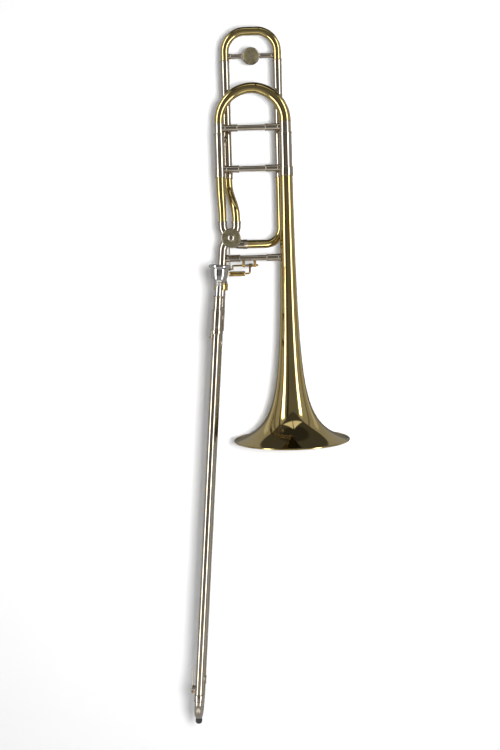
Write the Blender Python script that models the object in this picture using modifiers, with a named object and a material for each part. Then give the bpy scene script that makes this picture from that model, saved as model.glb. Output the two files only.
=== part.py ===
"""Tenor trombone with an open F attachment, standing as it hangs on an instrument stand.

Lengths are in metres and +Z is up. The hand slide runs along Z. The bell section leans from it by BELL_LEAN.
The origin is on the bell's axis, where a stand's cone would hold the bell from inside.
The outline of the bell is a horn curve, and every other size is set once below and used by all that fits it.
"""

import math

import bmesh
import bpy
from mathutils import Vector

# Gaps
GAP = 0.0003
RUNNING_GAP = 0.0001

# Bell section: heights in its frame are measured from the bell's rim
BELL_LEAN = math.radians(4.5)
STAND_HEIGHT = 0.120
BELL_RADIUS = 0.108
BELL_LENGTH = 0.4946
BELL_WALL = 0.0008
BELL_STEM_RADIUS = 0.0077
FLARE_LENGTH = 0.0372
FLARE_POWER = 1.186
BELL_RINGS = 16
BELL_RING_SPREAD = 2.3
RIM_BEAD_RADIUS = 0.0016
BEAD_SIDES = 6
LEG_SPACING = 0.1196

# Tubes: outer radii and walls
TUBE_WALL = 0.0005
BELL_LEG_RADIUS = 0.0110
NECK_LEG_RADIUS = 0.00835
F_TUBE_RADIUS = 0.0076
F_LEG_RADIUS = 0.0073
NECKPIPE_RADIUS = 0.0080
GOOSENECK_END_RADIUS = 0.0073

# Main tuning slide
CROOK_CLEARANCE = 0.0185
CROOK_STRAIGHT = 0.0015
SLEEVE_LENGTH = 0.0794
SLEEVE_FERRULE_HEIGHT = 0.0170
SLEEVE_MOUTH_RING = 0.0035
SLEEVE_RING_STEP = 0.0007
TUNING_LEG_LENGTH = 0.0790
TUNING_BRACE_DROP = 0.0093

# F tuning slide and its tubing, which lie behind the bell section's plane
F_DEPTH = 0.0260
F_SPACING = 0.0955
F_CENTRE_X = -0.0588
F_SLEEVE_LENGTH = 0.2124
F_LEG_LENGTH = 0.1250
F_CROOK_STRAIGHT = 0.0150
F_CROOK_CORNER = 0.0370
F_BRACE_RISE = 0.0075
F_BRACE_RADIUS = 0.0028
MEDALLION_RADIUS = 0.0156
MEDALLION_THICKNESS = 0.0076
MEDALLION_RIM = 0.0014
MEDALLION_RECESS = 0.0003
STAY_DROP = 0.0090
STAY_RADIUS = 0.0030
PIPE_INSET = 0.0090

# Rotary valve, turning about the Y axis
VALVE_X = -0.1025
VALVE_HEIGHT = 0.3760
CASING_RADIUS = 0.0170
CASING_WALL = 0.0015
CASING_HALF = 0.0205
ROTOR_RADIUS = 0.0151
ROTOR_HALF = 0.0170
PASSAGE_RADIUS = 0.0056
PORT_RADIUS = 0.0060
SPINDLE_RADIUS = 0.0025
PLATE_THICKNESS = 0.0030
CAP_RADIUS = 0.0162
CAP_THICKNESS = 0.0045
CAP_RIM = 0.0010
CAP_RECESS = 0.0005
CAP_HUB_RADIUS = 0.00675
CAP_HUB_HEIGHT = 0.0038
CAP_EDGE = 0.0004
PLATE_FLANGE = 0.0018
BOSS_RADIUS = 0.0068
BOSS_HEIGHT = 0.0035
SPINDLE_END = 0.0010
PASSAGE_SPREAD = math.radians(58.0)
NECK_PORT_START = 0.0125
NECK_BEND_LOW = -0.0360
NECK_BEND_HANDLE = 0.0090
PORT_BEND_HANDLE = 0.0050
KNUCKLE_RADIUS = 0.0082
KNUCKLE_REACH = 0.0310
KNUCKLE_SEAT = 0.0060
KNUCKLE_STRAIGHT = 0.0070
LEFT_PORT_X = -0.0155
RIGHT_PORT_X = 0.0095
RETURN_PORT_Z = -0.0115
RETURN_KNUCKLE_REACH = 0.0275
RETURN_KNUCKLE_DEPTH = 0.0030
RETURN_BEND = 0.0300
VALVE_TURN = math.radians(90.0)

# Stop arm, link and trigger
STOP_RADIUS = 0.0090
STOP_ARM_Y = 0.0262
STOP_ARM_THICKNESS = 0.0030
STOP_ARM_WIDTH = 0.0046
STOP_HUB_RADIUS = 0.0052
STOP_EYE_WALL = 0.0006
BALL_NECK = 0.0026
STUD_RADIUS = 0.0011
LINK_PLANE_SPACE = 0.0030
BALL_RADIUS = 0.0022
CORK_RADIUS = 0.0022
CORK_CIRCLE = 0.0112
CORK_PLATE_RADIUS = 0.0010
STOP_CLEARANCE = math.radians(1.0)
LINK_ROD_RADIUS = 0.0014
LINK_DISC_RADIUS = 0.0042
LINK_DISC_THICKNESS = 0.0024
EYE_RADIUS = 0.0032
TRIGGER_SHAFT_RADIUS = 0.0016
TRIGGER_Y = 0.0100
TRIGGER_DROP = 0.0134
TRIGGER_POST_LEFT = -0.0816
TRIGGER_POST_RIGHT = -0.0610
TRIGGER_POST_RADIUS = 0.0019
TRIGGER_KNOB_RADIUS = 0.0034
TRIGGER_FOOT_STEP = 0.0012
TRIGGER_SHAFT_END = 0.0010
TRIGGER_ARM_X = -0.0700
PADDLE_LENGTH = 0.0300
PADDLE_RADIUS = 0.0045
PADDLE_DROP = 0.0148
PADDLE_Y = -0.0160
SPRING_WIRE = 0.0005

# Braces
BRACE_RADIUS = 0.0049
SOCKET_RADIUS = 0.00625
SOCKET_LENGTH = 0.0250
SOCKET_COLLAR = 0.0024
LOWER_BRACE_DROP = 0.0368

# Hand slide: heights in its frame are measured from the lower end of the cork barrels
SLIDE_OFFSET = 0.0150
VALVE_TO_SLIDE = 0.1711
SLIDE_SPACING = 0.0860
INNER_TUBE_RADIUS = 0.00715
INNER_TUBE_WALL = 0.00035
STOCKING_RADIUS = 0.00730
STOCKING_LENGTH = 0.0950
STOCKING_TAPER = 0.0020
OUTER_TUBE_BORE = 0.00745
OUTER_TUBE_RADIUS = 0.0077
OUTER_TUBE_TOP = 0.0285
INNER_TUBE_LENGTH = 0.7030
INNER_END_SPACE = 0.0120
BARREL_RADIUS = 0.0093
BARREL_WALL = 0.0007
BARREL_LENGTH = 0.0440
BARREL_CAP = 0.0035
BARREL_EDGE = 0.0010
GRIP_BRACE_HEIGHT = 0.0260
GRIP_BRACE_RADIUS = 0.0052
OUTER_BRACE_HEIGHT = -0.0220
FERRULE_LENGTH = 0.0140
FERRULE_WALL = 0.0006
FERRULE_SEAT = 0.0070
BOW_WALL = 0.0006
BOW_CAP_RADIUS = 0.0055
BOW_CAP_REACH = 0.0028
BOW_CAP_SEAT = 0.0060
BOW_CAP_STEP = 0.0008
BOW_CLEARANCE = 0.0020
BUMPER_RADIUS = 0.0062
BUMPER_HEIGHT = 0.0097

# Receiver, tenon and lock nut on the lower slide tube
TENON_INSERTION = 0.0167
TENON_RADIUS = 0.0087
TENON_FLANGE_HEIGHT = 0.0772
TENON_FLANGE_RADIUS = 0.0110
TENON_FLANGE_THICKNESS = 0.0014
RECEIVER_WALL = 0.0010
RECEIVER_LENGTH = 0.0250
RECEIVER_THREAD_RADIUS = 0.0110
RECEIVER_SHOULDER = 0.0008
TENON_STEP = 0.0003
NUT_RADIUS = 0.01325
NUT_HEIGHT = 0.0130
NUT_LIP = 0.0018
NUT_EDGE = 0.0010

# Mouthpiece and its receiver on the upper slide tube
MOUTH_RECEIVER_LENGTH = 0.0235
MOUTH_RECEIVER_RADIUS = 0.0077
MOUTH_RECEIVER_RING = 0.0008
MOUTH_RECEIVER_RING_LENGTH = 0.0040
SHANK_INSERTION = 0.0220
SHANK_END_RADIUS = 0.0059
SHANK_TOP_RADIUS = 0.0066
MOUTHPIECE_LENGTH = 0.0765
MOUTHPIECE_RIM_RADIUS = 0.0192
CUP_RADIUS = 0.0128
CUP_DEPTH = 0.0240
CUP_BODY_RADIUS = 0.0156
CUP_BODY_LENGTH = 0.0332
THROAT_RADIUS = 0.0033

# Slide lock and water key
LOCK_RING_HEIGHT = 0.0070
LOCK_RING_WALL = 0.0010
LOCK_EAR_ANGLE = math.radians(217.0)
LOCK_EAR_WIDTH = 0.0042
LOCK_HOOK_ANGLE = math.radians(206.0)
LOCK_HOOK_LENGTH = 0.0052
LOCK_HOOK_DEPTH = 0.0022
LOCK_HOOK_THICKNESS = 0.0016
LOCK_PIN_RADIUS = 0.0015
LOCK_PIN_FOOT_STEP = 0.0010
LOCK_PIN_DROP = 0.0065
KEY_HINGE_RISE = 0.0190
KEY_HINGE_OUT = 0.0127
KEY_NIPPLE_DROP = 0.0085
KEY_LEVER_LENGTH = 0.0400
KEY_ROD_RADIUS = 0.0011
KEY_SLOT_HALF = 0.0040
KEY_EAR_THICKNESS = 0.0012
KEY_SPRING_WIRE = 0.0003
KEY_SPRING_TURNS = 2
NIPPLE_RADIUS = 0.0024
NIPPLE_LENGTH = 0.0026
KEY_CORK_RADIUS = 0.0031
KEY_CORK_THICKNESS = 0.0018
KEY_CUP_THICKNESS = 0.0014
KEY_EAR_MARGIN = 0.0018
KEY_SADDLE_HEIGHT = 0.0044

ROUND = 18
FINE_ROUND = 32
ROD_ROUND = 14
SMALL_ROUND = 12
TUBE_SIDES = 14
ROD_SIDES = 10
WIRE_SIDES = 6
BEND_STEPS = 8

# Heights that follow from the sizes above
SLEEVE_BOTTOM = BELL_LENGTH - PIPE_INSET
SLEEVE_MOUTH = SLEEVE_BOTTOM + SLEEVE_LENGTH
CROOK_HEIGHT = SLEEVE_MOUTH + CROOK_CLEARANCE
TUNING_BRACE_HEIGHT = CROOK_HEIGHT - TUNING_BRACE_DROP
STAY_HEIGHT = SLEEVE_MOUTH - STAY_DROP
F_SLEEVE_MOUTH = SLEEVE_BOTTOM + F_SLEEVE_LENGTH
LOWER_BRACE_HEIGHT = VALVE_HEIGHT - LOWER_BRACE_DROP
INNER_TUBE_BOTTOM = BARREL_LENGTH - INNER_TUBE_LENGTH
OUTER_TUBE_BOTTOM = INNER_TUBE_BOTTOM - INNER_END_SPACE
KEY_HINGE_HEIGHT = OUTER_TUBE_BOTTOM + KEY_HINGE_RISE
TENON_FLANGE_TOP = TENON_FLANGE_HEIGHT + TENON_FLANGE_THICKNESS
TENON_TOP = TENON_FLANGE_TOP + TENON_INSERTION
RECEIVER_TOP = TENON_FLANGE_TOP + GAP + RECEIVER_LENGTH

TURN_TO_BACK = (-math.pi / 2.0, 0.0, 0.0)
TURN_TO_FRONT = (math.pi / 2.0, 0.0, 0.0)
TURN_TO_RIGHT = (0.0, math.pi / 2.0, 0.0)
TURN_TO_LEFT = (0.0, -math.pi / 2.0, 0.0)

FINISHES = {
    "lacquered_brass": ((0.80, 0.58, 0.24), 0.14, 1.0),
    "nickel_silver": ((0.72, 0.68, 0.60), 0.16, 1.0),
    "silver_plate": ((0.86, 0.85, 0.83), 0.10, 1.0),
    "gold_plate": ((0.86, 0.62, 0.20), 0.18, 1.0),
    "satin_bronze": ((0.36, 0.31, 0.20), 0.42, 1.0),
    "spring_steel": ((0.56, 0.57, 0.58), 0.25, 1.0),
    "cork": ((0.55, 0.38, 0.22), 0.85, 0.0),
    "black_rubber": ((0.02, 0.02, 0.02), 0.55, 0.0),
}


def clear_scene():
    """Empty the file, so that the script can be run again in it."""
    for item in list(bpy.data.objects):
        bpy.data.objects.remove(item, do_unlink=True)


def collection(name):
    """A collection of this name in the scene."""
    group = bpy.data.collections.new(name)
    bpy.context.scene.collection.children.link(group)
    return group


def finish(name):
    """The Principled material of this finish."""
    if name in bpy.data.materials:
        return bpy.data.materials[name]
    colour, roughness, metallic = FINISHES[name]
    made = bpy.data.materials.new(name)
    made.use_nodes = True
    shader = made.node_tree.nodes["Principled BSDF"]
    shader.inputs["Base Color"].default_value = (*colour, 1.0)
    shader.inputs["Roughness"].default_value = roughness
    shader.inputs["Metallic"].default_value = metallic
    return made


clear_scene()
TROMBONE = collection("tenor_trombone")
CUTTERS = collection("cutters")


def frame(name, parent=None, location=(0.0, 0.0, 0.0), rotation=(0.0, 0.0, 0.0)):
    """An empty that other pieces are placed from."""
    empty = bpy.data.objects.new(name, None)
    TROMBONE.objects.link(empty)
    empty.parent = parent
    empty.location = location
    empty.rotation_euler = rotation
    empty.empty_display_size = 0.01
    return empty


def add(name, data, finish_name, parent, location=(0.0, 0.0, 0.0), rotation=(0.0, 0.0, 0.0)):
    """Link a piece with its finish and place it; a piece with no finish is a cutter."""
    made = bpy.data.objects.new(name, data)
    made.parent = parent
    made.location = location
    made.rotation_euler = rotation
    if finish_name:
        TROMBONE.objects.link(made)
        data.materials.append(finish(finish_name))
    else:
        CUTTERS.objects.link(made)
        made.hide_render = True
        made.display_type = "WIRE"
    return made


def turned(name, outline, finish_name, parent, location=(0, 0, 0), rotation=(0, 0, 0), steps=ROUND):
    """Turn (radius, height) points about Z; they run down the outer side and up the bore or the axis."""
    shape = bmesh.new()
    corners = [shape.verts.new((radius, 0.0, height)) for radius, height in outline]
    for first, second in zip(corners, corners[1:]):
        shape.edges.new((first, second))
    if outline[0][0] > 0.0 and outline[-1][0] > 0.0:
        shape.edges.new((corners[-1], corners[0]))
    mesh = bpy.data.meshes.new(name)
    shape.to_mesh(mesh)
    shape.free()
    made = add(name, mesh, finish_name, parent, location, rotation)
    spin = made.modifiers.new("turn", "SCREW")
    spin.steps = steps
    spin.render_steps = steps
    spin.use_merge_vertices = True
    spin.merge_threshold = 0.00001
    spin.use_smooth_shade = True
    return made


def ring_outline(outer, bore, top, bottom):
    """Outline of a plain tube or washer."""
    return [(outer, top), (outer, bottom), (bore, bottom), (bore, top)]


def rod_outline(radius, top, bottom):
    """Outline of a plain solid rod."""
    return [(0.0, top), (radius, top), (radius, bottom), (0.0, bottom)]


def ball_outline(radius, centre, count=8):
    """Outline of a ball about a point of the axis."""
    angles = [math.pi * step / count for step in range(count + 1)]
    points = [(radius * math.sin(angle), centre + radius * math.cos(angle)) for angle in angles]
    points[0] = (0.0, centre + radius)
    points[-1] = (0.0, centre - radius)
    return points


def swept(name, points, radii, finish_name, parent, wall=0.0, sides=TUBE_SIDES):
    """A round bar along points, or a tube with a wall; radii is one value or one for each point."""
    if not isinstance(radii, (list, tuple)):
        radii = [radii] * len(points)
    curve = bpy.data.curves.new(name, "CURVE")
    curve.dimensions = "3D"
    curve.bevel_depth = max(radii)
    curve.bevel_resolution = (sides - 4) // 2
    curve.use_fill_caps = wall == 0.0
    spline = curve.splines.new("POLY")
    spline.points.add(len(points) - 1)
    for knot, place, radius in zip(spline.points, points, radii):
        knot.co = (*place, 1.0)
        knot.radius = radius / max(radii)
    made = add(name, curve, finish_name, parent)
    if wall:
        skin = made.modifiers.new("wall", "SOLIDIFY")
        skin.thickness = wall
        skin.offset = -1.0
    return made


def as_mesh(made):
    """Turn a swept piece into a welded mesh, so that it can be cut or can cut."""
    bpy.context.view_layer.update()
    evaluated = made.evaluated_get(bpy.context.evaluated_depsgraph_get())
    mesh = bpy.data.meshes.new_from_object(evaluated)
    shape = bmesh.new()
    shape.from_mesh(mesh)
    bmesh.ops.remove_doubles(shape, verts=shape.verts, dist=0.000005)
    shape.to_mesh(mesh)
    shape.free()
    name, parent = made.name, made.parent
    location, rotation = made.location.copy(), made.rotation_euler.copy()
    groups = list(made.users_collection)
    bpy.data.objects.remove(made, do_unlink=True)
    mesh.name = name
    solid = bpy.data.objects.new(name, mesh)
    for group in groups:
        group.objects.link(solid)
    solid.parent = parent
    solid.location = location
    solid.rotation_euler = rotation
    if CUTTERS in groups:
        solid.hide_render = True
        solid.display_type = "WIRE"
    return solid


def combine(made, tool, operation):
    """Cut or join a piece with a tool from the cutters."""
    step = made.modifiers.new(operation.lower(), "BOOLEAN")
    step.operation = operation
    step.object = tool
    return made


def cut(made, *tools):
    """Take each tool's shape out of the piece."""
    for tool in tools:
        combine(made, tool, "DIFFERENCE")
    return made


def join(made, *tools):
    """Add each tool's shape to the piece."""
    for tool in tools:
        combine(made, tool, "UNION")
    return made


def box(name, size, finish_name, parent, location=(0.0, 0.0, 0.0), rotation=(0.0, 0.0, 0.0)):
    """A box with its size applied to the mesh."""
    shape = bmesh.new()
    bmesh.ops.create_cube(shape, size=1.0)
    bmesh.ops.scale(shape, vec=size, verts=shape.verts)
    mesh = bpy.data.meshes.new(name)
    shape.to_mesh(mesh)
    shape.free()
    return add(name, mesh, finish_name, parent, location, rotation)


def bezier(start, start_handle, end_handle, end, count=BEND_STEPS):
    """Points along a cubic curve."""
    points = []
    for step in range(count + 1):
        t = step / count
        point = Vector(start) * (1.0 - t) ** 3
        point += Vector(start_handle) * 3.0 * t * (1.0 - t) ** 2
        point += Vector(end_handle) * 3.0 * t * t * (1.0 - t)
        point += Vector(end) * t**3
        points.append(point)
    return points


def arc(centre, radius, start, end, along=(1.0, 0.0, 0.0), up=(0.0, 0.0, 1.0), count=BEND_STEPS):
    """Points on an arc in the plane of two directions, with angles in radians from the first one."""
    points = []
    for step in range(count + 1):
        angle = start + (end - start) * step / count
        point = Vector(centre) + Vector(along) * radius * math.cos(angle)
        points.append(point + Vector(up) * radius * math.sin(angle))
    return points


def tapered(first, last, count):
    """Evenly changing radii for a swept tube."""
    return [first + (last - first) * step / (count - 1) for step in range(count)]


def bell_radius_at(height):
    """Outer radius of the bell at a height above its rim."""
    edge = BELL_RADIUS - 2.0 * RIM_BEAD_RADIUS - GAP
    reach = (FLARE_LENGTH / (height + FLARE_LENGTH)) ** FLARE_POWER
    return BELL_STEM_RADIUS + (edge - BELL_STEM_RADIUS) * reach


def brace(name, parent, left, right, left_cut, right_cut, finish_name="nickel_silver", radius=BRACE_RADIUS):
    """A tube brace from left to right with a socket and a collar at each end.

    left and right are points on the axes of the tubes it joins. left_cut and right_cut are each that tube's
    direction and radius, and the brace is hollowed by them to sit on the tubes.
    """
    start = Vector(left)
    run = Vector(right) - start
    length = run.length
    turn = run.to_track_quat("Z", "Y").to_euler()
    left_face = left_cut[1]
    right_face = length - right_cut[1]
    socket_length = min(SOCKET_LENGTH, 0.3 * (right_face - left_face))
    socket_radius = radius + SOCKET_RADIUS - BRACE_RADIUS
    collar_radius = socket_radius + SLEEVE_RING_STEP
    outline = [
        (0.0, length),
        (collar_radius, length),
        (collar_radius, right_face - SOCKET_COLLAR),
        (socket_radius, right_face - SOCKET_COLLAR),
        (socket_radius, right_face - socket_length),
        (radius, right_face - socket_length),
        (radius, left_face + socket_length),
        (socket_radius, left_face + socket_length),
        (socket_radius, left_face + SOCKET_COLLAR),
        (collar_radius, left_face + SOCKET_COLLAR),
        (collar_radius, 0.0),
        (0.0, 0.0),
    ]
    made = turned(name, outline, finish_name, parent, start, turn, ROD_ROUND)
    for side, place, (direction, tube_radius) in (("left", left, left_cut), ("right", right, right_cut)):
        saddle_turn = Vector(direction).to_track_quat("Z", "Y").to_euler()
        reach = 3.0 * collar_radius
        space = rod_outline((tube_radius + GAP) / math.cos(math.pi / ROUND), reach, -reach)
        cut(made, turned(f"{name}_{side}_saddle", space, None, parent, place, saddle_turn))
    return made


def sleeve(name, parent, place, leg_radius, mouth, pipe_radius):
    """The fixed outer tube of a tuning slide, with a ring at its mouth and a ferrule round the pipe below."""
    bottom = SLEEVE_BOTTOM
    bore = leg_radius + GAP
    outer = bore + TUBE_WALL
    pipe_bore = pipe_radius + GAP
    ferrule = max(outer, pipe_bore + TUBE_WALL) + SLEEVE_RING_STEP
    ring = outer + SLEEVE_RING_STEP
    ferrule_top = bottom + SLEEVE_FERRULE_HEIGHT
    outline = [
        (ring, mouth),
        (ring, mouth - SLEEVE_MOUTH_RING),
        (outer, mouth - SLEEVE_MOUTH_RING),
        (outer, ferrule_top),
        (ferrule, ferrule_top),
        (ferrule, bottom),
        (pipe_bore, bottom),
        (pipe_bore, bottom + PIPE_INSET + GAP),
        (bore, bottom + PIPE_INSET + GAP),
        (bore, mouth),
    ]
    return turned(name, outline, "nickel_silver", parent, place)


# Frames
bell_frame = frame("bell_section", None, (0.0, 0.0, 0.0), (0.0, -BELL_LEAN, 0.0))
rim_frame = frame("bell_rim_level", bell_frame, (0.0, 0.0, -STAND_HEIGHT))
valve_frame = frame("valve_centre", rim_frame, (VALVE_X, 0.0, VALVE_HEIGHT))
tuning_frame = frame("tuning_slide", rim_frame, (-LEG_SPACING / 2.0, 0.0, CROOK_HEIGHT))
f_frame = frame("f_slide", rim_frame, (F_CENTRE_X, F_DEPTH, F_SLEEVE_MOUTH))
trigger_frame = frame("trigger", rim_frame, (0.0, TRIGGER_Y, LOWER_BRACE_HEIGHT - TRIGGER_DROP))
upright_frame = frame("slide_direction", valve_frame, (0.0, 0.0, 0.0), (0.0, BELL_LEAN, 0.0))
slide_frame = frame("hand_slide", upright_frame, (-SLIDE_OFFSET, 0.0, -VALVE_TO_SLIDE))
outer_frame = frame("outer_slide", slide_frame)
upper_frame = frame("upper_slide_tube", slide_frame, (0.0, -SLIDE_SPACING, 0.0))
outer_upper_frame = frame("outer_upper_tube", outer_frame, (0.0, -SLIDE_SPACING, 0.0))
key_frame = frame("water_key", outer_upper_frame, (-KEY_HINGE_OUT, 0.0, KEY_HINGE_HEIGHT))
mouth_frame = frame("mouthpiece_seat", upper_frame, (0.0, 0.0, BARREL_LENGTH + MOUTH_RECEIVER_LENGTH))

UP = (0.0, 0.0, 1.0)


def make_bell():
    """The flare and stem as one thin shell, and the bead rolled round its rim."""
    outline = []
    for ring in range(BELL_RINGS, -1, -1):
        height = BELL_LENGTH * (ring / BELL_RINGS) ** BELL_RING_SPREAD
        outline.append((bell_radius_at(height), height))
    shape = bmesh.new()
    corners = [shape.verts.new((radius, 0.0, height)) for radius, height in outline]
    for first, second in zip(corners, corners[1:]):
        shape.edges.new((first, second))
    mesh = bpy.data.meshes.new("bell")
    shape.to_mesh(mesh)
    shape.free()
    bell = add("bell", mesh, "lacquered_brass", rim_frame)
    spin = bell.modifiers.new("turn", "SCREW")
    spin.steps = FINE_ROUND
    spin.render_steps = FINE_ROUND
    spin.merge_threshold = 0.00001
    spin.use_merge_vertices = True
    spin.use_smooth_shade = True
    skin = bell.modifiers.new("wall", "SOLIDIFY")
    skin.thickness = BELL_WALL
    skin.offset = -1.0
    bead_centre = BELL_RADIUS - RIM_BEAD_RADIUS
    bead = []
    for side in range(BEAD_SIDES):
        angle = -2.0 * math.pi * side / BEAD_SIDES
        bead.append((bead_centre + RIM_BEAD_RADIUS * math.cos(angle), RIM_BEAD_RADIUS * math.sin(angle)))
    turned("bell_rim_bead", bead, "lacquered_brass", rim_frame, steps=FINE_ROUND)


def make_main_sleeves():
    """The fixed tubes that the main tuning slide runs in."""
    bell_top_radius = bell_radius_at(BELL_LENGTH)
    sleeve("bell_sleeve", rim_frame, (0.0, 0.0, 0.0), BELL_LEG_RADIUS, SLEEVE_MOUTH, bell_top_radius)
    sleeve(
        "gooseneck_sleeve",
        rim_frame,
        (-LEG_SPACING, 0.0, 0.0),
        NECK_LEG_RADIUS,
        SLEEVE_MOUTH,
        NECK_LEG_RADIUS,
    )


def make_gooseneck():
    """The tapering pipe from the left sleeve down to the valve."""
    top = (-LEG_SPACING, 0.0, BELL_LENGTH)
    straight = (-LEG_SPACING, 0.0, BELL_LENGTH - 2.0 * PIPE_INSET)
    knuckle_top = VALVE_HEIGHT + KNUCKLE_REACH
    low = (VALVE_X + LEFT_PORT_X, 0.0, knuckle_top + PIPE_INSET)
    end = (VALVE_X + LEFT_PORT_X, 0.0, knuckle_top - KNUCKLE_SEAT)
    radii = [NECK_LEG_RADIUS, NECK_LEG_RADIUS, GOOSENECK_END_RADIUS, GOOSENECK_END_RADIUS]
    swept("gooseneck", [top, straight, low, end], radii, "lacquered_brass", rim_frame, TUBE_WALL)


def sleeve_outer_radius(leg_radius):
    """Outer radius of the plain part of a slide sleeve."""
    return leg_radius + GAP + TUBE_WALL


def make_bell_braces():
    """The two fixed braces of the bell section."""
    height = BELL_LENGTH + SOCKET_RADIUS
    ferrule = GAP + TUBE_WALL + SLEEVE_RING_STEP
    bell_ferrule = max(bell_radius_at(BELL_LENGTH), BELL_LEG_RADIUS) + ferrule
    brace(
        "upper_brace",
        rim_frame,
        (-LEG_SPACING, 0.0, height),
        (0.0, 0.0, height),
        (UP, NECK_LEG_RADIUS + ferrule),
        (UP, bell_ferrule),
    )
    slide_way = (math.sin(BELL_LEAN), 0.0, math.cos(BELL_LEAN))
    drop = VALVE_HEIGHT - LOWER_BRACE_HEIGHT
    neck_x = VALVE_X - SLIDE_OFFSET / math.cos(BELL_LEAN) - drop * math.tan(BELL_LEAN)
    return brace(
        "lower_brace",
        rim_frame,
        (neck_x, 0.0, LOWER_BRACE_HEIGHT),
        (0.0, 0.0, LOWER_BRACE_HEIGHT),
        (slide_way, NECKPIPE_RADIUS),
        (UP, bell_radius_at(LOWER_BRACE_HEIGHT - 1.5 * SOCKET_RADIUS)),
    )


def make_tuning_slide():
    """The crook, its two legs and its brace, which slide together."""
    half = LEG_SPACING / 2.0
    path = arc((0.0, 0.0, CROOK_STRAIGHT), half, math.pi, 0.0, count=14)
    radii = [NECK_LEG_RADIUS] + tapered(NECK_LEG_RADIUS, BELL_LEG_RADIUS, len(path)) + [BELL_LEG_RADIUS]
    path = [Vector((-half, 0.0, 0.0))] + path + [Vector((half, 0.0, 0.0))]
    swept("tuning_crook", path, radii, "lacquered_brass", tuning_frame, TUBE_WALL)
    top = -GAP
    bottom = -TUNING_LEG_LENGTH
    for name, x, radius in (
        ("tuning_leg_neck_side", -half, NECK_LEG_RADIUS),
        ("tuning_leg_bell_side", half, BELL_LEG_RADIUS),
    ):
        outline = ring_outline(radius, radius - TUBE_WALL, top, bottom)
        turned(name, outline, "nickel_silver", tuning_frame, (x, 0.0, 0.0))
    height = TUNING_BRACE_HEIGHT - CROOK_HEIGHT
    brace(
        "tuning_brace",
        tuning_frame,
        (-half, 0.0, height),
        (half, 0.0, height),
        (UP, NECK_LEG_RADIUS),
        (UP, BELL_LEG_RADIUS),
    )


def make_f_slide():
    """The F tuning slide: crook with a flat top, legs, brace and the bare medallion."""
    half = F_SPACING / 2.0
    corner = F_CROOK_CORNER
    left = (-half + corner, 0.0, F_CROOK_STRAIGHT)
    right = (half - corner, 0.0, F_CROOK_STRAIGHT)
    path = [Vector((-half, 0.0, GAP))]
    path += arc(left, corner, math.pi, math.pi / 2.0, count=6)
    path += arc(right, corner, math.pi / 2.0, 0.0, count=6)
    path.append(Vector((half, 0.0, GAP)))
    swept("f_crook", path, F_TUBE_RADIUS, "lacquered_brass", f_frame, TUBE_WALL)
    legs = ring_outline(F_LEG_RADIUS, F_LEG_RADIUS - TUBE_WALL, 0.0, -F_LEG_LENGTH)
    turned("f_leg_left", legs, "nickel_silver", f_frame, (-half, 0.0, 0.0))
    turned("f_leg_right", legs, "nickel_silver", f_frame, (half, 0.0, 0.0))
    end_cut = (UP, F_TUBE_RADIUS)
    brace(
        "f_slide_brace",
        f_frame,
        (-half, 0.0, F_BRACE_RISE),
        (half, 0.0, F_BRACE_RISE),
        end_cut,
        end_cut,
        radius=F_BRACE_RADIUS,
    )
    face = MEDALLION_THICKNESS / 2.0
    floor = face - MEDALLION_RECESS
    inner = MEDALLION_RADIUS - MEDALLION_RIM
    disc = [
        (0.0, floor),
        (inner, floor),
        (inner + MEDALLION_RECESS, face),
        (MEDALLION_RADIUS - MEDALLION_RECESS, face),
        (MEDALLION_RADIUS, floor),
        (MEDALLION_RADIUS, -floor),
        (MEDALLION_RADIUS - MEDALLION_RECESS, -face),
        (inner + MEDALLION_RECESS, -face),
        (inner, -floor),
        (0.0, -floor),
    ]
    spot = (0.0, 0.0, F_BRACE_RISE)
    medallion = turned("f_slide_medallion", disc, "satin_bronze", f_frame, spot, TURN_TO_FRONT, ROUND)
    hole = rod_outline((F_BRACE_RADIUS + GAP) / math.cos(math.pi / ROUND), 2.0 * inner, -2.0 * inner)
    cut(medallion, turned("medallion_hole", hole, None, f_frame, spot, TURN_TO_RIGHT))


def f_leg_x(side):
    """Place across of the left or right F tube; side is -1 or 1."""
    return F_CENTRE_X + side * F_SPACING / 2.0


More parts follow.
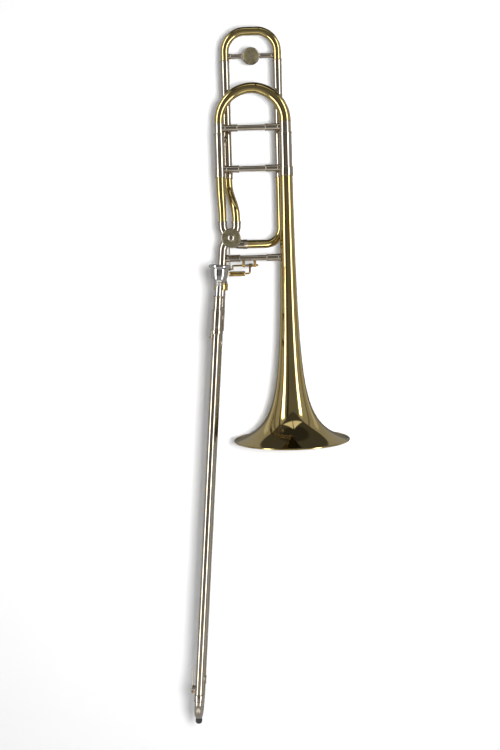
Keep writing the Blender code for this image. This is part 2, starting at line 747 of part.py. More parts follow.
def make_f_tubing():
    """The fixed part of the F attachment, behind the bell section's plane."""
    stay_end = sleeve_outer_radius(F_LEG_RADIUS)
    stays = {
        "left": (-1.0, -LEG_SPACING, sleeve_outer_radius(NECK_LEG_RADIUS)),
        "right": (1.0, 0.0, sleeve_outer_radius(BELL_LEG_RADIUS)),
    }
    for name, (side, main_x, main_radius) in stays.items():
        place = Vector((f_leg_x(side), F_DEPTH, 0.0))
        tube = sleeve(f"f_sleeve_{name}", rim_frame, place, F_LEG_RADIUS, F_SLEEVE_MOUTH, F_TUBE_RADIUS)
        start = Vector((main_x, 0.0, STAY_HEIGHT))
        end = place + Vector((0.0, 0.0, STAY_HEIGHT))
        stay = brace(
            f"f_stay_{name}",
            rim_frame,
            start,
            end,
            (UP, main_radius),
            (UP, stay_end - 2.0 * GAP),
            None,
            STAY_RADIUS,
        )
        join(tube, stay)
    knuckle_top = VALVE_HEIGHT + KNUCKLE_REACH
    pipe_end = KNUCKLE_RADIUS - TUBE_WALL - GAP
    top = Vector((f_leg_x(-1.0), F_DEPTH, BELL_LENGTH))
    upper = Vector((f_leg_x(-1.0), F_DEPTH, SLEEVE_BOTTOM - 0.0040))
    lower = Vector((VALVE_X + RIGHT_PORT_X, 0.0, knuckle_top + 0.0030))
    end = Vector((VALVE_X + RIGHT_PORT_X, 0.0, knuckle_top - KNUCKLE_SEAT))
    handle = Vector((0.0, 0.0, (upper.z - lower.z) * 0.45))
    path = [top] + bezier(upper, upper - handle, lower + handle, lower) + [end]
    radii = [F_TUBE_RADIUS] * (len(path) - 4) + tapered(F_TUBE_RADIUS, pipe_end, 3) + [pipe_end]
    swept("f_s_bend", path, radii, "lacquered_brass", rim_frame, TUBE_WALL)

    corner = Vector((f_leg_x(1.0), F_DEPTH, VALVE_HEIGHT + RETURN_PORT_Z))
    mouth = Vector((VALVE_X + RETURN_KNUCKLE_REACH, RETURN_KNUCKLE_DEPTH, corner.z))
    way = (mouth - corner).normalized()
    centre = corner + way * RETURN_BEND + Vector(UP) * RETURN_BEND
    bend = arc(centre, RETURN_BEND, 0.0, math.pi / 2.0, along=-way, up=(0.0, 0.0, -1.0), count=7)
    top = Vector((corner.x, corner.y, BELL_LENGTH))
    end = mouth + way * KNUCKLE_SEAT
    path = [top] + bend + [mouth - way * 0.0030, end]
    radii = [F_TUBE_RADIUS] * (len(path) - 2) + [pipe_end] * 2
    swept("f_return_tube", path, radii, "lacquered_brass", rim_frame, TUBE_WALL)


def port_paths():
    """Where each pipe leaves the valve, as points in the valve's frame from the rotor outwards."""
    lower_left = math.radians(225.0) + BELL_LEAN
    neck_start = Vector((math.cos(lower_left), 0.0, math.sin(lower_left))) * NECK_PORT_START
    neck_out = neck_start * 1.9
    neck_low = Vector((-SLIDE_OFFSET, 0.0, NECK_BEND_LOW))
    return {
        "gooseneck": bezier(
            (-0.0085, 0.0, 0.0100),
            (-0.0150, 0.0, 0.0165),
            (LEFT_PORT_X, 0.0, 0.0195),
            (LEFT_PORT_X, 0.0, KNUCKLE_REACH - KNUCKLE_STRAIGHT),
            6,
        )
        + [Vector((LEFT_PORT_X, 0.0, KNUCKLE_REACH))],
        "f_inlet": [Vector((RIGHT_PORT_X, 0.0, 0.0090)), Vector((RIGHT_PORT_X, 0.0, KNUCKLE_REACH))],
        "neckpipe": bezier(
            neck_start, neck_out, neck_low + Vector((0.0, 0.0, NECK_BEND_HANDLE)), neck_low, BEND_STEPS - 1
        ),
    }


def return_knuckle_path():
    """The lower right port: it leaves level and turns towards the return tube's run."""
    corner = Vector((f_leg_x(1.0), F_DEPTH, 0.0))
    mouth = Vector((VALVE_X + RETURN_KNUCKLE_REACH, RETURN_KNUCKLE_DEPTH, 0.0))
    way = (corner - mouth).normalized()
    start = Vector((0.0060, 0.0, RETURN_PORT_Z))
    end = Vector((RETURN_KNUCKLE_REACH, RETURN_KNUCKLE_DEPTH, RETURN_PORT_Z))
    turned_way = end - way * KNUCKLE_STRAIGHT
    level = Vector((PORT_BEND_HANDLE, 0.0, 0.0))
    return bezier(start, start + level, turned_way - way * PORT_BEND_HANDLE, turned_way, 4) + [end]


def make_valve():
    """Casing, rotor, bearing plates, cap and the short pipes that leave the casing."""
    paths = port_paths()
    bore = CASING_RADIUS - CASING_WALL
    body = ring_outline(CASING_RADIUS, bore, CASING_HALF, -CASING_HALF)
    casing = turned("valve_casing", body, "nickel_silver", valve_frame, (0, 0, 0), TURN_TO_BACK, FINE_ROUND)
    around = turned(
        "casing_space",
        rod_outline(CASING_RADIUS + GAP, 1.2 * CASING_HALF, -1.2 * CASING_HALF),
        None,
        valve_frame,
        rotation=TURN_TO_BACK,
        steps=FINE_ROUND,
    )
    knuckles = {
        "gooseneck_knuckle": (paths["gooseneck"], valve_frame),
        "f_inlet_knuckle": (paths["f_inlet"], valve_frame),
        "f_return_knuckle": (return_knuckle_path(), valve_frame),
    }
    for name, (path, parent) in knuckles.items():
        pipe = as_mesh(swept(name, path, KNUCKLE_RADIUS, "nickel_silver", parent, TUBE_WALL))
        cut(pipe, around)
        port = as_mesh(swept(f"{name}_port", path, PORT_RADIUS, None, parent))
        cut(casing, port)

    neck = paths["neckpipe"] + [Vector((-SLIDE_OFFSET, 0.0, RECEIVER_TOP - KNUCKLE_SEAT - VALVE_TO_SLIDE))]
    neckpipe = as_mesh(swept("neckpipe", neck, NECKPIPE_RADIUS, "nickel_silver", upright_frame, TUBE_WALL))
    cut(neckpipe, around)
    port = as_mesh(swept("neckpipe_port", paths["neckpipe"], PORT_RADIUS, None, upright_frame))
    cut(casing, port)

    spindle_front = -ROTOR_HALF - PLATE_THICKNESS
    spindle_back = STOP_ARM_Y + STOP_ARM_THICKNESS + SPINDLE_END
    core = [
        (0.0, spindle_back),
        (SPINDLE_RADIUS, spindle_back),
        (SPINDLE_RADIUS, ROTOR_HALF),
        (ROTOR_RADIUS, ROTOR_HALF),
        (ROTOR_RADIUS, -ROTOR_HALF),
        (SPINDLE_RADIUS, -ROTOR_HALF),
        (SPINDLE_RADIUS, spindle_front),
        (0.0, spindle_front),
    ]
    rotor = turned("valve_rotor", core, "nickel_silver", valve_frame, rotation=TURN_TO_BACK, steps=FINE_ROUND)
    reach = ROTOR_RADIUS * math.sqrt(2.0)
    for side in (-1.0, 1.0):
        way = (-side, 0.0, 0.0)
        middle = (side * reach, 0.0, 0.0)
        path = arc(middle, ROTOR_RADIUS, -PASSAGE_SPREAD, PASSAGE_SPREAD, along=way, count=7)
        cut(rotor, as_mesh(swept(f"passage_{side:.0f}", path, PASSAGE_RADIUS, None, valve_frame)))

    hole = SPINDLE_RADIUS + RUNNING_GAP
    inside = bore - GAP
    front = -ROTOR_HALF - GAP
    plate = ring_outline(inside, hole, front, front - PLATE_THICKNESS)
    turned("front_bearing_plate", plate, "nickel_silver", valve_frame, rotation=TURN_TO_BACK)
    back = ROTOR_HALF + GAP
    flange = CASING_HALF + GAP
    outline = [
        (BOSS_RADIUS, flange + BOSS_HEIGHT),
        (BOSS_RADIUS, flange + PLATE_FLANGE),
        (CASING_RADIUS - GAP, flange + PLATE_FLANGE),
        (CASING_RADIUS - GAP, flange),
        (inside, flange),
        (inside, back),
        (hole, back),
        (hole, flange + BOSS_HEIGHT),
    ]
    turned("back_bearing_plate", outline, "nickel_silver", valve_frame, rotation=TURN_TO_BACK)

    face = flange + CAP_THICKNESS
    cap = [
        (0.0, face - CAP_RECESS),
        (CAP_RADIUS - CAP_RIM, face - CAP_RECESS),
        (CAP_RADIUS - CAP_RIM, face),
        (CAP_RADIUS - CAP_EDGE, face),
        (CAP_RADIUS, face - CAP_EDGE),
        (CAP_RADIUS, flange),
        (0.0, flange),
    ]
    turned("valve_cap", cap, "satin_bronze", valve_frame, rotation=TURN_TO_FRONT, steps=FINE_ROUND)
    base = face - CAP_RECESS + GAP
    dome = [(0.0, base + CAP_HUB_HEIGHT)]
    for step in range(1, 6):
        angle = math.radians(18.0 * step)
        dome.append((CAP_HUB_RADIUS * math.sin(angle), base + CAP_HUB_HEIGHT * math.cos(angle)))
    dome.append((0.0, base))
    turned("valve_cap_hub", dome, "nickel_silver", valve_frame, rotation=TURN_TO_FRONT)


def link_plane():
    """Depth of the link rod behind the valve's centre."""
    return STOP_ARM_Y + STOP_ARM_THICKNESS + 2.0 * BALL_RADIUS + LINK_PLANE_SPACE + LINK_DISC_THICKNESS / 2.0


def trigger_swing():
    """Angle of the trigger's reach below level at rest, so that it and the stop arm rise alike."""
    return math.atan2(STOP_RADIUS * math.sin(VALVE_TURN / 2.0), link_plane() - TRIGGER_Y)


def stop_pin():
    """Place of the stop arm's ball across and up from the valve's centre, at rest."""
    side = STOP_RADIUS * math.cos(VALVE_TURN / 2.0)
    return -side, -STOP_RADIUS * math.sin(VALVE_TURN / 2.0)


def make_stop_arm():
    """The arm on the rotor's spindle, its ball stud and the two corks that it stops against."""
    start = STOP_ARM_Y
    end = start + STOP_ARM_THICKNESS
    hole = SPINDLE_RADIUS + RUNNING_GAP
    hub = ring_outline(STOP_HUB_RADIUS, hole, end, start)
    arm = turned("stop_arm", hub, "gold_plate", valve_frame, rotation=TURN_TO_BACK)
    middle = (start + end) / 2.0
    pin_x, pin_z = stop_pin()
    bar_length = STOP_RADIUS - hole - 0.0012
    for sign, name in ((1.0, "pin_side"), (-1.0, "finger")):
        reach = hole + 0.0008 + bar_length / 2.0
        scale = reach / STOP_RADIUS * sign
        place = (pin_x * scale, middle, pin_z * scale)
        size = (bar_length, STOP_ARM_THICKNESS, STOP_ARM_WIDTH)
        turn = (0.0, -VALVE_TURN / 2.0, 0.0)
        join(arm, box(f"stop_arm_{name}", size, None, valve_frame, place, turn))
    pin_spot = (pin_x, 0.0, pin_z)
    eye = rod_outline(STOP_ARM_WIDTH / 2.0 + STOP_EYE_WALL, end, start)
    join(arm, turned("stop_arm_eye", eye, None, valve_frame, pin_spot, TURN_TO_BACK))
    ball_centre = end + BALL_NECK + BALL_RADIUS
    stud = [
        (0.0, ball_centre + BALL_RADIUS),
        (BALL_RADIUS * 0.7, ball_centre + BALL_RADIUS * 0.7),
        (BALL_RADIUS, ball_centre),
        (BALL_RADIUS * 0.7, ball_centre - BALL_RADIUS * 0.7),
        (STUD_RADIUS, ball_centre - BALL_RADIUS * 0.9),
        (STUD_RADIUS, start + STUD_RADIUS),
        (0.0, start + STUD_RADIUS),
    ]
    join(arm, turned("stop_arm_ball", stud, None, valve_frame, pin_spot, TURN_TO_BACK))

    finger_half = math.asin(STOP_ARM_WIDTH / 2.0 / STOP_RADIUS)
    cork_half = math.asin((CORK_RADIUS + GAP) / STOP_RADIUS)
    base = CASING_HALF + GAP + PLATE_FLANGE + GAP
    cork_outline = rod_outline(CORK_RADIUS, end, base)
    angle = VALVE_TURN / 2.0 + finger_half + cork_half + STOP_CLEARANCE
    path = arc((0.0, 0.0, 0.0), CORK_CIRCLE, -angle, angle, count=12)
    plate = as_mesh(swept("cork_plate", path, CORK_PLATE_RADIUS, None, valve_frame, sides=WIRE_SIDES))
    plate.location = (0.0, base + CORK_PLATE_RADIUS, 0.0)
    for side in (1.0, -1.0):
        place = (CORK_CIRCLE * math.cos(angle), 0.0, side * CORK_CIRCLE * math.sin(angle))
        if side > 0.0:
            corks = turned("stop_corks", cork_outline, "cork", valve_frame, place, TURN_TO_BACK, SMALL_ROUND)
        else:
            second = turned("second_cork", cork_outline, None, valve_frame, place, TURN_TO_BACK, SMALL_ROUND)
    join(corks, plate, second)


def make_trigger(lower_brace):
    """Posts on the lower brace, the lever that turns in them, its paddle and the link rod."""
    shaft_hole = TRIGGER_SHAFT_RADIUS + RUNNING_GAP
    shaft_space = turned(
        "shaft_space",
        rod_outline(shaft_hole, 0.06, -0.06),
        None,
        trigger_frame,
        ((TRIGGER_POST_LEFT + TRIGGER_POST_RIGHT) / 2.0, 0.0, 0.0),
        TURN_TO_RIGHT,
    )
    reach = math.hypot(TRIGGER_Y, TRIGGER_DROP)
    lean = math.atan2(TRIGGER_Y, TRIGGER_DROP)
    knob = TRIGGER_KNOB_RADIUS
    outline = [
        (0.0, reach - BRACE_RADIUS + 0.0020),
        (TRIGGER_POST_RADIUS + TRIGGER_FOOT_STEP, reach - BRACE_RADIUS + 0.0020),
        (TRIGGER_POST_RADIUS + TRIGGER_FOOT_STEP, reach - BRACE_RADIUS - TRIGGER_FOOT_STEP),
        (TRIGGER_POST_RADIUS, reach - BRACE_RADIUS - 0.0022),
        (TRIGGER_POST_RADIUS, knob * 0.85),
        (knob * 0.75, knob * 0.66),
        (knob, 0.0),
        (knob * 0.75, -knob * 0.66),
        (0.0, -knob),
    ]
    for name, x in (("left", TRIGGER_POST_LEFT), ("right", TRIGGER_POST_RIGHT)):
        place = (x, 0.0, 0.0)
        turn = (lean, 0.0, 0.0)
        post = turned(f"trigger_post_{name}", outline, None, trigger_frame, place, turn, SMALL_ROUND)
        join(lower_brace, post)
    cut(lower_brace, shaft_space)

    pin_x = VALVE_X + stop_pin()[0]
    across = link_plane() - TRIGGER_Y
    low = -STOP_RADIUS * math.sin(VALVE_TURN / 2.0)
    shaft_right = TRIGGER_POST_RIGHT + TRIGGER_KNOB_RADIUS + TRIGGER_SHAFT_END
    turn_x = pin_x + 0.0060
    rod = [
        Vector((shaft_right, 0.0, 0.0)),
        Vector((turn_x + 0.0050, 0.0, 0.0)),
        Vector((turn_x + 0.0015, 0.0010, -0.0002)),
        Vector((turn_x, 0.0045, low * 0.2)),
        Vector((turn_x, across - 0.0035, low * 0.9)),
        Vector((turn_x - 0.0012, across - 0.0008, low)),
        Vector((turn_x - 0.0036, across, low)),
        Vector((pin_x - EYE_RADIUS / 2.0 - 0.0012, across, low)),
    ]
    lever = swept("trigger_lever", rod, TRIGGER_SHAFT_RADIUS, "gold_plate", trigger_frame, sides=ROD_SIDES)
    lever = as_mesh(lever)
    paddle_y = PADDLE_Y - TRIGGER_Y
    arm_end = Vector((TRIGGER_ARM_X - 0.0080, paddle_y, -PADDLE_DROP))
    arm = [
        Vector((TRIGGER_ARM_X, 0.0, 0.0)),
        Vector((TRIGGER_ARM_X, paddle_y * 0.35, -PADDLE_DROP * 0.30)),
        Vector((TRIGGER_ARM_X, paddle_y * 0.72, -PADDLE_DROP * 0.72)),
        Vector((TRIGGER_ARM_X - 0.0010, paddle_y * 0.93, -PADDLE_DROP * 0.95)),
        Vector((TRIGGER_ARM_X - 0.0035, paddle_y, -PADDLE_DROP)),
        arm_end,
    ]
    arm_radius = TRIGGER_SHAFT_RADIUS * 1.1
    join(lever, as_mesh(swept("trigger_arm", arm, arm_radius, None, trigger_frame, sides=ROD_SIDES)))
    half = PADDLE_LENGTH / 2.0
    end_round = PADDLE_RADIUS * 0.5
    outline = [
        (0.0, half),
        (PADDLE_RADIUS * 0.7, half - 0.0005),
        (PADDLE_RADIUS, half - end_round),
        (PADDLE_RADIUS, -half + end_round),
        (PADDLE_RADIUS * 0.7, -half + 0.0005),
        (0.0, -half),
    ]
    centre = (arm_end.x - half - GAP, paddle_y, -PADDLE_DROP)
    turned("trigger_paddle", outline, "gold_plate", trigger_frame, centre, TURN_TO_RIGHT, SMALL_ROUND)

    turns, per_turn = 3, 8
    coil_radius = TRIGGER_SHAFT_RADIUS + SPRING_WIRE + GAP
    start_x = TRIGGER_POST_LEFT + TRIGGER_KNOB_RADIUS + 2.0 * SPRING_WIRE
    pitch = 3.0 * SPRING_WIRE
    coil = []
    for step in range(turns * per_turn + 1):
        angle = 2.0 * math.pi * step / per_turn
        x = start_x + pitch * step / per_turn
        coil.append(Vector((x, coil_radius * math.cos(angle), coil_radius * math.sin(angle))))
    swept("trigger_spring", coil, SPRING_WIRE, "spring_steel", trigger_frame, sides=WIRE_SIDES)

    stop_z = VALVE_HEIGHT + stop_pin()[1]
    plane = link_plane()
    eye_z = LOWER_BRACE_HEIGHT - TRIGGER_DROP + low
    disc = rod_outline(LINK_DISC_RADIUS, LINK_DISC_THICKNESS / 2.0, -LINK_DISC_THICKNESS / 2.0)
    link = turned("trigger_link", disc, "nickel_silver", rim_frame, (pin_x, plane, stop_z), TURN_TO_BACK)
    stem = rod_outline(LINK_ROD_RADIUS * 0.8, stop_z - 0.0020, eye_z + EYE_RADIUS - 0.0006)
    join(link, turned("link_stem", stem, None, rim_frame, (pin_x, plane, 0.0), steps=12))
    eye_bore = TRIGGER_SHAFT_RADIUS + RUNNING_GAP
    eye = ring_outline(EYE_RADIUS, eye_bore, EYE_RADIUS / 2.0, -EYE_RADIUS / 2.0)
    join(link, turned("link_eye", eye, None, rim_frame, (pin_x, plane, eye_z), TURN_TO_RIGHT))


def make_receiver():
    """The receiver at the neckpipe's end, the tenon that seats in it and the nut that draws them together."""
    flange_top = TENON_FLANGE_TOP
    tenon_bore = INNER_TUBE_RADIUS + GAP
    receiver_bore = TENON_RADIUS + GAP
    bottom = flange_top + GAP
    top = RECEIVER_TOP
    thread_top = TENON_FLANGE_HEIGHT + NUT_HEIGHT - NUT_LIP + NUT_EDGE
    pipe_bore = NECKPIPE_RADIUS + GAP
    receiver = [
        (receiver_bore + RECEIVER_WALL, top),
        (receiver_bore + RECEIVER_WALL, thread_top + 0.0035),
        (RECEIVER_THREAD_RADIUS + RECEIVER_SHOULDER, thread_top + 0.0025),
        (RECEIVER_THREAD_RADIUS + RECEIVER_SHOULDER, thread_top),
        (RECEIVER_THREAD_RADIUS, thread_top),
        (RECEIVER_THREAD_RADIUS, bottom),
        (receiver_bore, bottom),
        (receiver_bore, top - KNUCKLE_SEAT - 2.0 * GAP),
        (pipe_bore, top - KNUCKLE_SEAT - 2.0 * GAP),
        (pipe_bore, top),
    ]
    turned("slide_receiver", receiver, "nickel_silver", slide_frame)
    tenon_bottom = BARREL_LENGTH + GAP
    tenon_top = TENON_TOP
    tenon = [
        (TENON_RADIUS - TENON_STEP, tenon_top),
        (TENON_RADIUS, flange_top),
        (TENON_FLANGE_RADIUS, flange_top),
        (TENON_FLANGE_RADIUS, TENON_FLANGE_HEIGHT),
        (TENON_RADIUS + TENON_STEP, TENON_FLANGE_HEIGHT),
        (TENON_RADIUS + TENON_STEP, tenon_bottom),
        (tenon_bore, tenon_bottom),
        (tenon_bore, tenon_top),
    ]
    turned("slide_tenon", tenon, "nickel_silver", slide_frame)
    nut_top = TENON_FLANGE_HEIGHT + NUT_HEIGHT - NUT_LIP
    nut_bottom = TENON_FLANGE_HEIGHT - GAP - NUT_LIP
    cavity = RECEIVER_THREAD_RADIUS + GAP
    lip = TENON_RADIUS + TENON_STEP + GAP
    nut = [
        (NUT_RADIUS - NUT_EDGE, nut_top),
        (NUT_RADIUS, nut_top - NUT_EDGE),
        (NUT_RADIUS, nut_bottom + NUT_EDGE),
        (NUT_RADIUS - NUT_EDGE, nut_bottom),
        (lip, nut_bottom),
        (lip, nut_bottom + NUT_LIP),
        (cavity, nut_bottom + NUT_LIP),
        (cavity, nut_top),
    ]
    turned("bell_lock_nut", nut, "gold_plate", slide_frame)


def make_inner_slide():
    """The inner tubes, cork barrels with their felts, the grip brace and the mouthpiece receiver."""
    bore = INNER_TUBE_RADIUS - INNER_TUBE_WALL
    bottom = INNER_TUBE_BOTTOM
    stocking_top = bottom + STOCKING_LENGTH
    tops = {"lower": TENON_TOP - GAP, "upper": BARREL_LENGTH}
    sides = {"lower": slide_frame, "upper": upper_frame}
    barrel_bore = BARREL_RADIUS - BARREL_WALL
    tube_hole = INNER_TUBE_RADIUS + GAP
    for side, parent in sides.items():
        tube = [
            (INNER_TUBE_RADIUS, tops[side]),
            (INNER_TUBE_RADIUS, stocking_top + STOCKING_TAPER),
            (STOCKING_RADIUS, stocking_top),
            (STOCKING_RADIUS, bottom),
            (bore, bottom),
            (bore, tops[side]),
        ]
        turned(f"inner_tube_{side}", tube, "nickel_silver", parent)
    barrel = [
        (BARREL_RADIUS - BARREL_EDGE / 2.0, BARREL_LENGTH),
        (BARREL_RADIUS, BARREL_LENGTH - BARREL_EDGE),
        (BARREL_RADIUS, 0.0),
        (barrel_bore, 0.0),
        (barrel_bore, BARREL_LENGTH - BARREL_CAP),
        (tube_hole, BARREL_LENGTH - BARREL_CAP),
        (tube_hole, BARREL_LENGTH),
    ]
    turned("cork_barrel_lower", barrel, "nickel_silver", slide_frame)
    turned("cork_barrel_upper", barrel, "nickel_silver", upper_frame)
    brace(
        "grip_brace",
        slide_frame,
        (0.0, 0.0, GRIP_BRACE_HEIGHT),
        (0.0, -SLIDE_SPACING, GRIP_BRACE_HEIGHT),
        (UP, BARREL_RADIUS),
        (UP, BARREL_RADIUS),
        radius=GRIP_BRACE_RADIUS,
    )
    top = MOUTH_RECEIVER_LENGTH
    shank_hole = SHANK_TOP_RADIUS + GAP
    outline = [
        (MOUTH_RECEIVER_RADIUS + MOUTH_RECEIVER_RING, 0.0),
        (MOUTH_RECEIVER_RADIUS + MOUTH_RECEIVER_RING, -MOUTH_RECEIVER_RING_LENGTH),
        (MOUTH_RECEIVER_RADIUS, -MOUTH_RECEIVER_RING_LENGTH - MOUTH_RECEIVER_RING),
        (MOUTH_RECEIVER_RADIUS, -top + GAP),
        (bore, -top + GAP),
        (bore - GAP, -SHANK_INSERTION),
        (shank_hole, 0.0),
    ]
    turned("mouthpiece_receiver", outline, "nickel_silver", mouth_frame)


def make_mouthpiece():
    """The mouthpiece as one turned shell: rim, cup, throat, backbore and tapered shank."""
    end = -SHANK_INSERTION
    rim = end + MOUTHPIECE_LENGTH
    shoulder = rim - CUP_BODY_LENGTH
    edge = MOUTHPIECE_RIM_RADIUS
    cup_floor = rim - CUP_DEPTH
    outline = [
        ((edge + CUP_RADIUS) / 2.0, rim),
        (edge - 0.0010, rim - 0.0008),
        (edge, rim - 0.0026),
        (edge - 0.0004, rim - 0.0046),
        (CUP_BODY_RADIUS + 0.0008, rim - 0.0068),
        (CUP_BODY_RADIUS, rim - 0.0110),
        (CUP_BODY_RADIUS * 0.90, rim - CUP_BODY_LENGTH * 0.60),
        (CUP_BODY_RADIUS * 0.66, rim - CUP_BODY_LENGTH * 0.86),
        (SHANK_TOP_RADIUS + 0.0011, shoulder),
        (SHANK_TOP_RADIUS, shoulder - 0.0030),
        (SHANK_TOP_RADIUS - 0.0002, 0.0),
        (SHANK_END_RADIUS, end),
        (SHANK_END_RADIUS - 0.0012, end),
        (THROAT_RADIUS, cup_floor - 0.0080),
        (THROAT_RADIUS, cup_floor),
        (CUP_RADIUS * 0.62, cup_floor + 0.0070),
        (CUP_RADIUS * 0.92, cup_floor + 0.0150),
        (CUP_RADIUS, rim - 0.0020),
    ]
    turned("mouthpiece", outline, "silver_plate", mouth_frame, steps=ROUND)


def make_outer_slide():
    """The outer tubes with their brace, ferrules, bow, end socket and rubber bumper."""
    tube_bottom = OUTER_TUBE_BOTTOM
    tube = ring_outline(OUTER_TUBE_RADIUS, OUTER_TUBE_BORE, OUTER_TUBE_TOP, tube_bottom)
    ferrule_top = tube_bottom + FERRULE_SEAT
    ferrule_bore = OUTER_TUBE_RADIUS + GAP
    ferrule_bottom = ferrule_top - FERRULE_LENGTH
    ferrule_outer = ferrule_bore + FERRULE_WALL
    joint = OUTER_TUBE_RADIUS - BOW_WALL / 2.0
    ferrule = [
        (ferrule_outer, ferrule_top),
        (ferrule_outer, ferrule_bottom),
        (joint, ferrule_bottom),
        (joint, tube_bottom - 2.0 * GAP),
        (ferrule_bore, tube_bottom - 2.0 * GAP),
        (ferrule_bore, ferrule_top),
    ]
    for side, parent in (("lower", outer_frame), ("upper", outer_upper_frame)):
        turned(f"outer_tube_{side}", tube, "nickel_silver", parent)
    brace(
        "outer_brace",
        outer_frame,
        (0.0, 0.0, OUTER_BRACE_HEIGHT),
        (0.0, -SLIDE_SPACING, OUTER_BRACE_HEIGHT),
        (UP, OUTER_TUBE_RADIUS),
        (UP, OUTER_TUBE_RADIUS),
    )
    half = SLIDE_SPACING / 2.0
    bow_top = tube_bottom - GAP
    centre_height = ferrule_bottom + BOW_CLEARANCE
    centre = (0.0, -half, centre_height)
    path = [Vector((0.0, 0.0, bow_top))]
    path += arc(centre, half, 0.0, -math.pi, along=(0.0, 1.0, 0.0), count=12)
    path.append(Vector((0.0, -SLIDE_SPACING, bow_top)))
    bow = as_mesh(swept("slide_bow", path, OUTER_TUBE_RADIUS, "nickel_silver", outer_frame, BOW_WALL))
    for side, parent in (("lower", outer_frame), ("upper", outer_upper_frame)):
        join(bow, turned(f"bow_ferrule_{side}", ferrule, None, parent))
    bow_space = as_mesh(swept("bow_space", path, OUTER_TUBE_RADIUS + GAP, None, outer_frame))
    bow_bottom = centre_height - half - OUTER_TUBE_RADIUS
    socket_bottom = bow_bottom - BOW_CAP_REACH
    socket = [
        (0.0, bow_bottom + BOW_CAP_SEAT),
        (BOW_CAP_RADIUS - BOW_CAP_STEP, bow_bottom + BOW_CAP_SEAT),
        (BOW_CAP_RADIUS, socket_bottom + BOW_CAP_STEP),
        (BOW_CAP_RADIUS, socket_bottom),
        (0.0, socket_bottom),
    ]
    cut(turned("bow_end_socket", socket, "nickel_silver", outer_frame, (0.0, -half, 0.0)), bow_space)
    top = socket_bottom - GAP
    bottom = top - BUMPER_HEIGHT
    bumper = [
        (0.0, top),
        (BUMPER_RADIUS - 0.0008, top),
        (BUMPER_RADIUS, top - 0.0015),
        (BUMPER_RADIUS, top - BUMPER_HEIGHT * 0.55),
        (BUMPER_RADIUS - 0.0008, top - BUMPER_HEIGHT * 0.80),
        (BUMPER_RADIUS - 0.0024, bottom),
        (0.0, bottom),
    ]
    turned("end_bumper", bumper, "black_rubber", outer_frame, (0.0, -half, 0.0))


def make_slide_lock():
    """The ring on the upper cork barrel with its hook, and the pin on the outer slide that it catches."""
    bore = BARREL_RADIUS + GAP
    outer = bore + LOCK_RING_WALL
    ring = turned(
        "slide_lock_ring",
        ring_outline(outer, bore, LOCK_RING_HEIGHT + GAP, GAP),
        "nickel_silver",
        upper_frame,
        steps=FINE_ROUND,
    )
    thick = LOCK_HOOK_THICKNESS
    out = outer + thick / 2.0 - 0.0004
    angle = LOCK_EAR_ANGLE
    hook_middle = -LOCK_PIN_DROP - LOCK_PIN_RADIUS - GAP - LOCK_HOOK_DEPTH / 2.0
    ear_bottom = hook_middle - LOCK_HOOK_DEPTH / 2.0 - 0.0002
    ear_height = LOCK_RING_HEIGHT - ear_bottom
    ear_place = (out * math.cos(angle), out * math.sin(angle), LOCK_RING_HEIGHT - ear_height / 2.0)
    ear_size = (thick, LOCK_EAR_WIDTH, ear_height)
    ear = box("lock_ear", ear_size, None, upper_frame, ear_place, (0.0, 0.0, angle - math.pi))
    tip = LOCK_HOOK_ANGLE
    tip_place = (out * math.cos(tip), out * math.sin(tip), hook_middle)
    tip_size = (thick - 0.0002, LOCK_HOOK_LENGTH, LOCK_HOOK_DEPTH)
    hook = box("lock_tip", tip_size, None, upper_frame, tip_place, (0.0, 0.0, tip - math.pi))
    join(ring, ear, hook)
    length = out + thick - OUTER_TUBE_RADIUS
    pin = turned(
        "slide_lock_pin",
        [
            (0.0, length),
            (LOCK_PIN_RADIUS, length),
            (LOCK_PIN_RADIUS, 0.0020),
            (LOCK_PIN_RADIUS + LOCK_PIN_FOOT_STEP, LOCK_PIN_FOOT_STEP),
            (LOCK_PIN_RADIUS + LOCK_PIN_FOOT_STEP, -0.0020),
            (0.0, -0.0020),
        ],
        "nickel_silver",
        outer_upper_frame,
        (-OUTER_TUBE_RADIUS, 0.0, -LOCK_PIN_DROP),
        TURN_TO_LEFT,
        SMALL_ROUND,
    )
    tube_space = rod_outline(OUTER_TUBE_RADIUS + GAP, 0.01, -0.03)
    cut(pin, turned("lock_pin_seat", tube_space, None, outer_upper_frame))


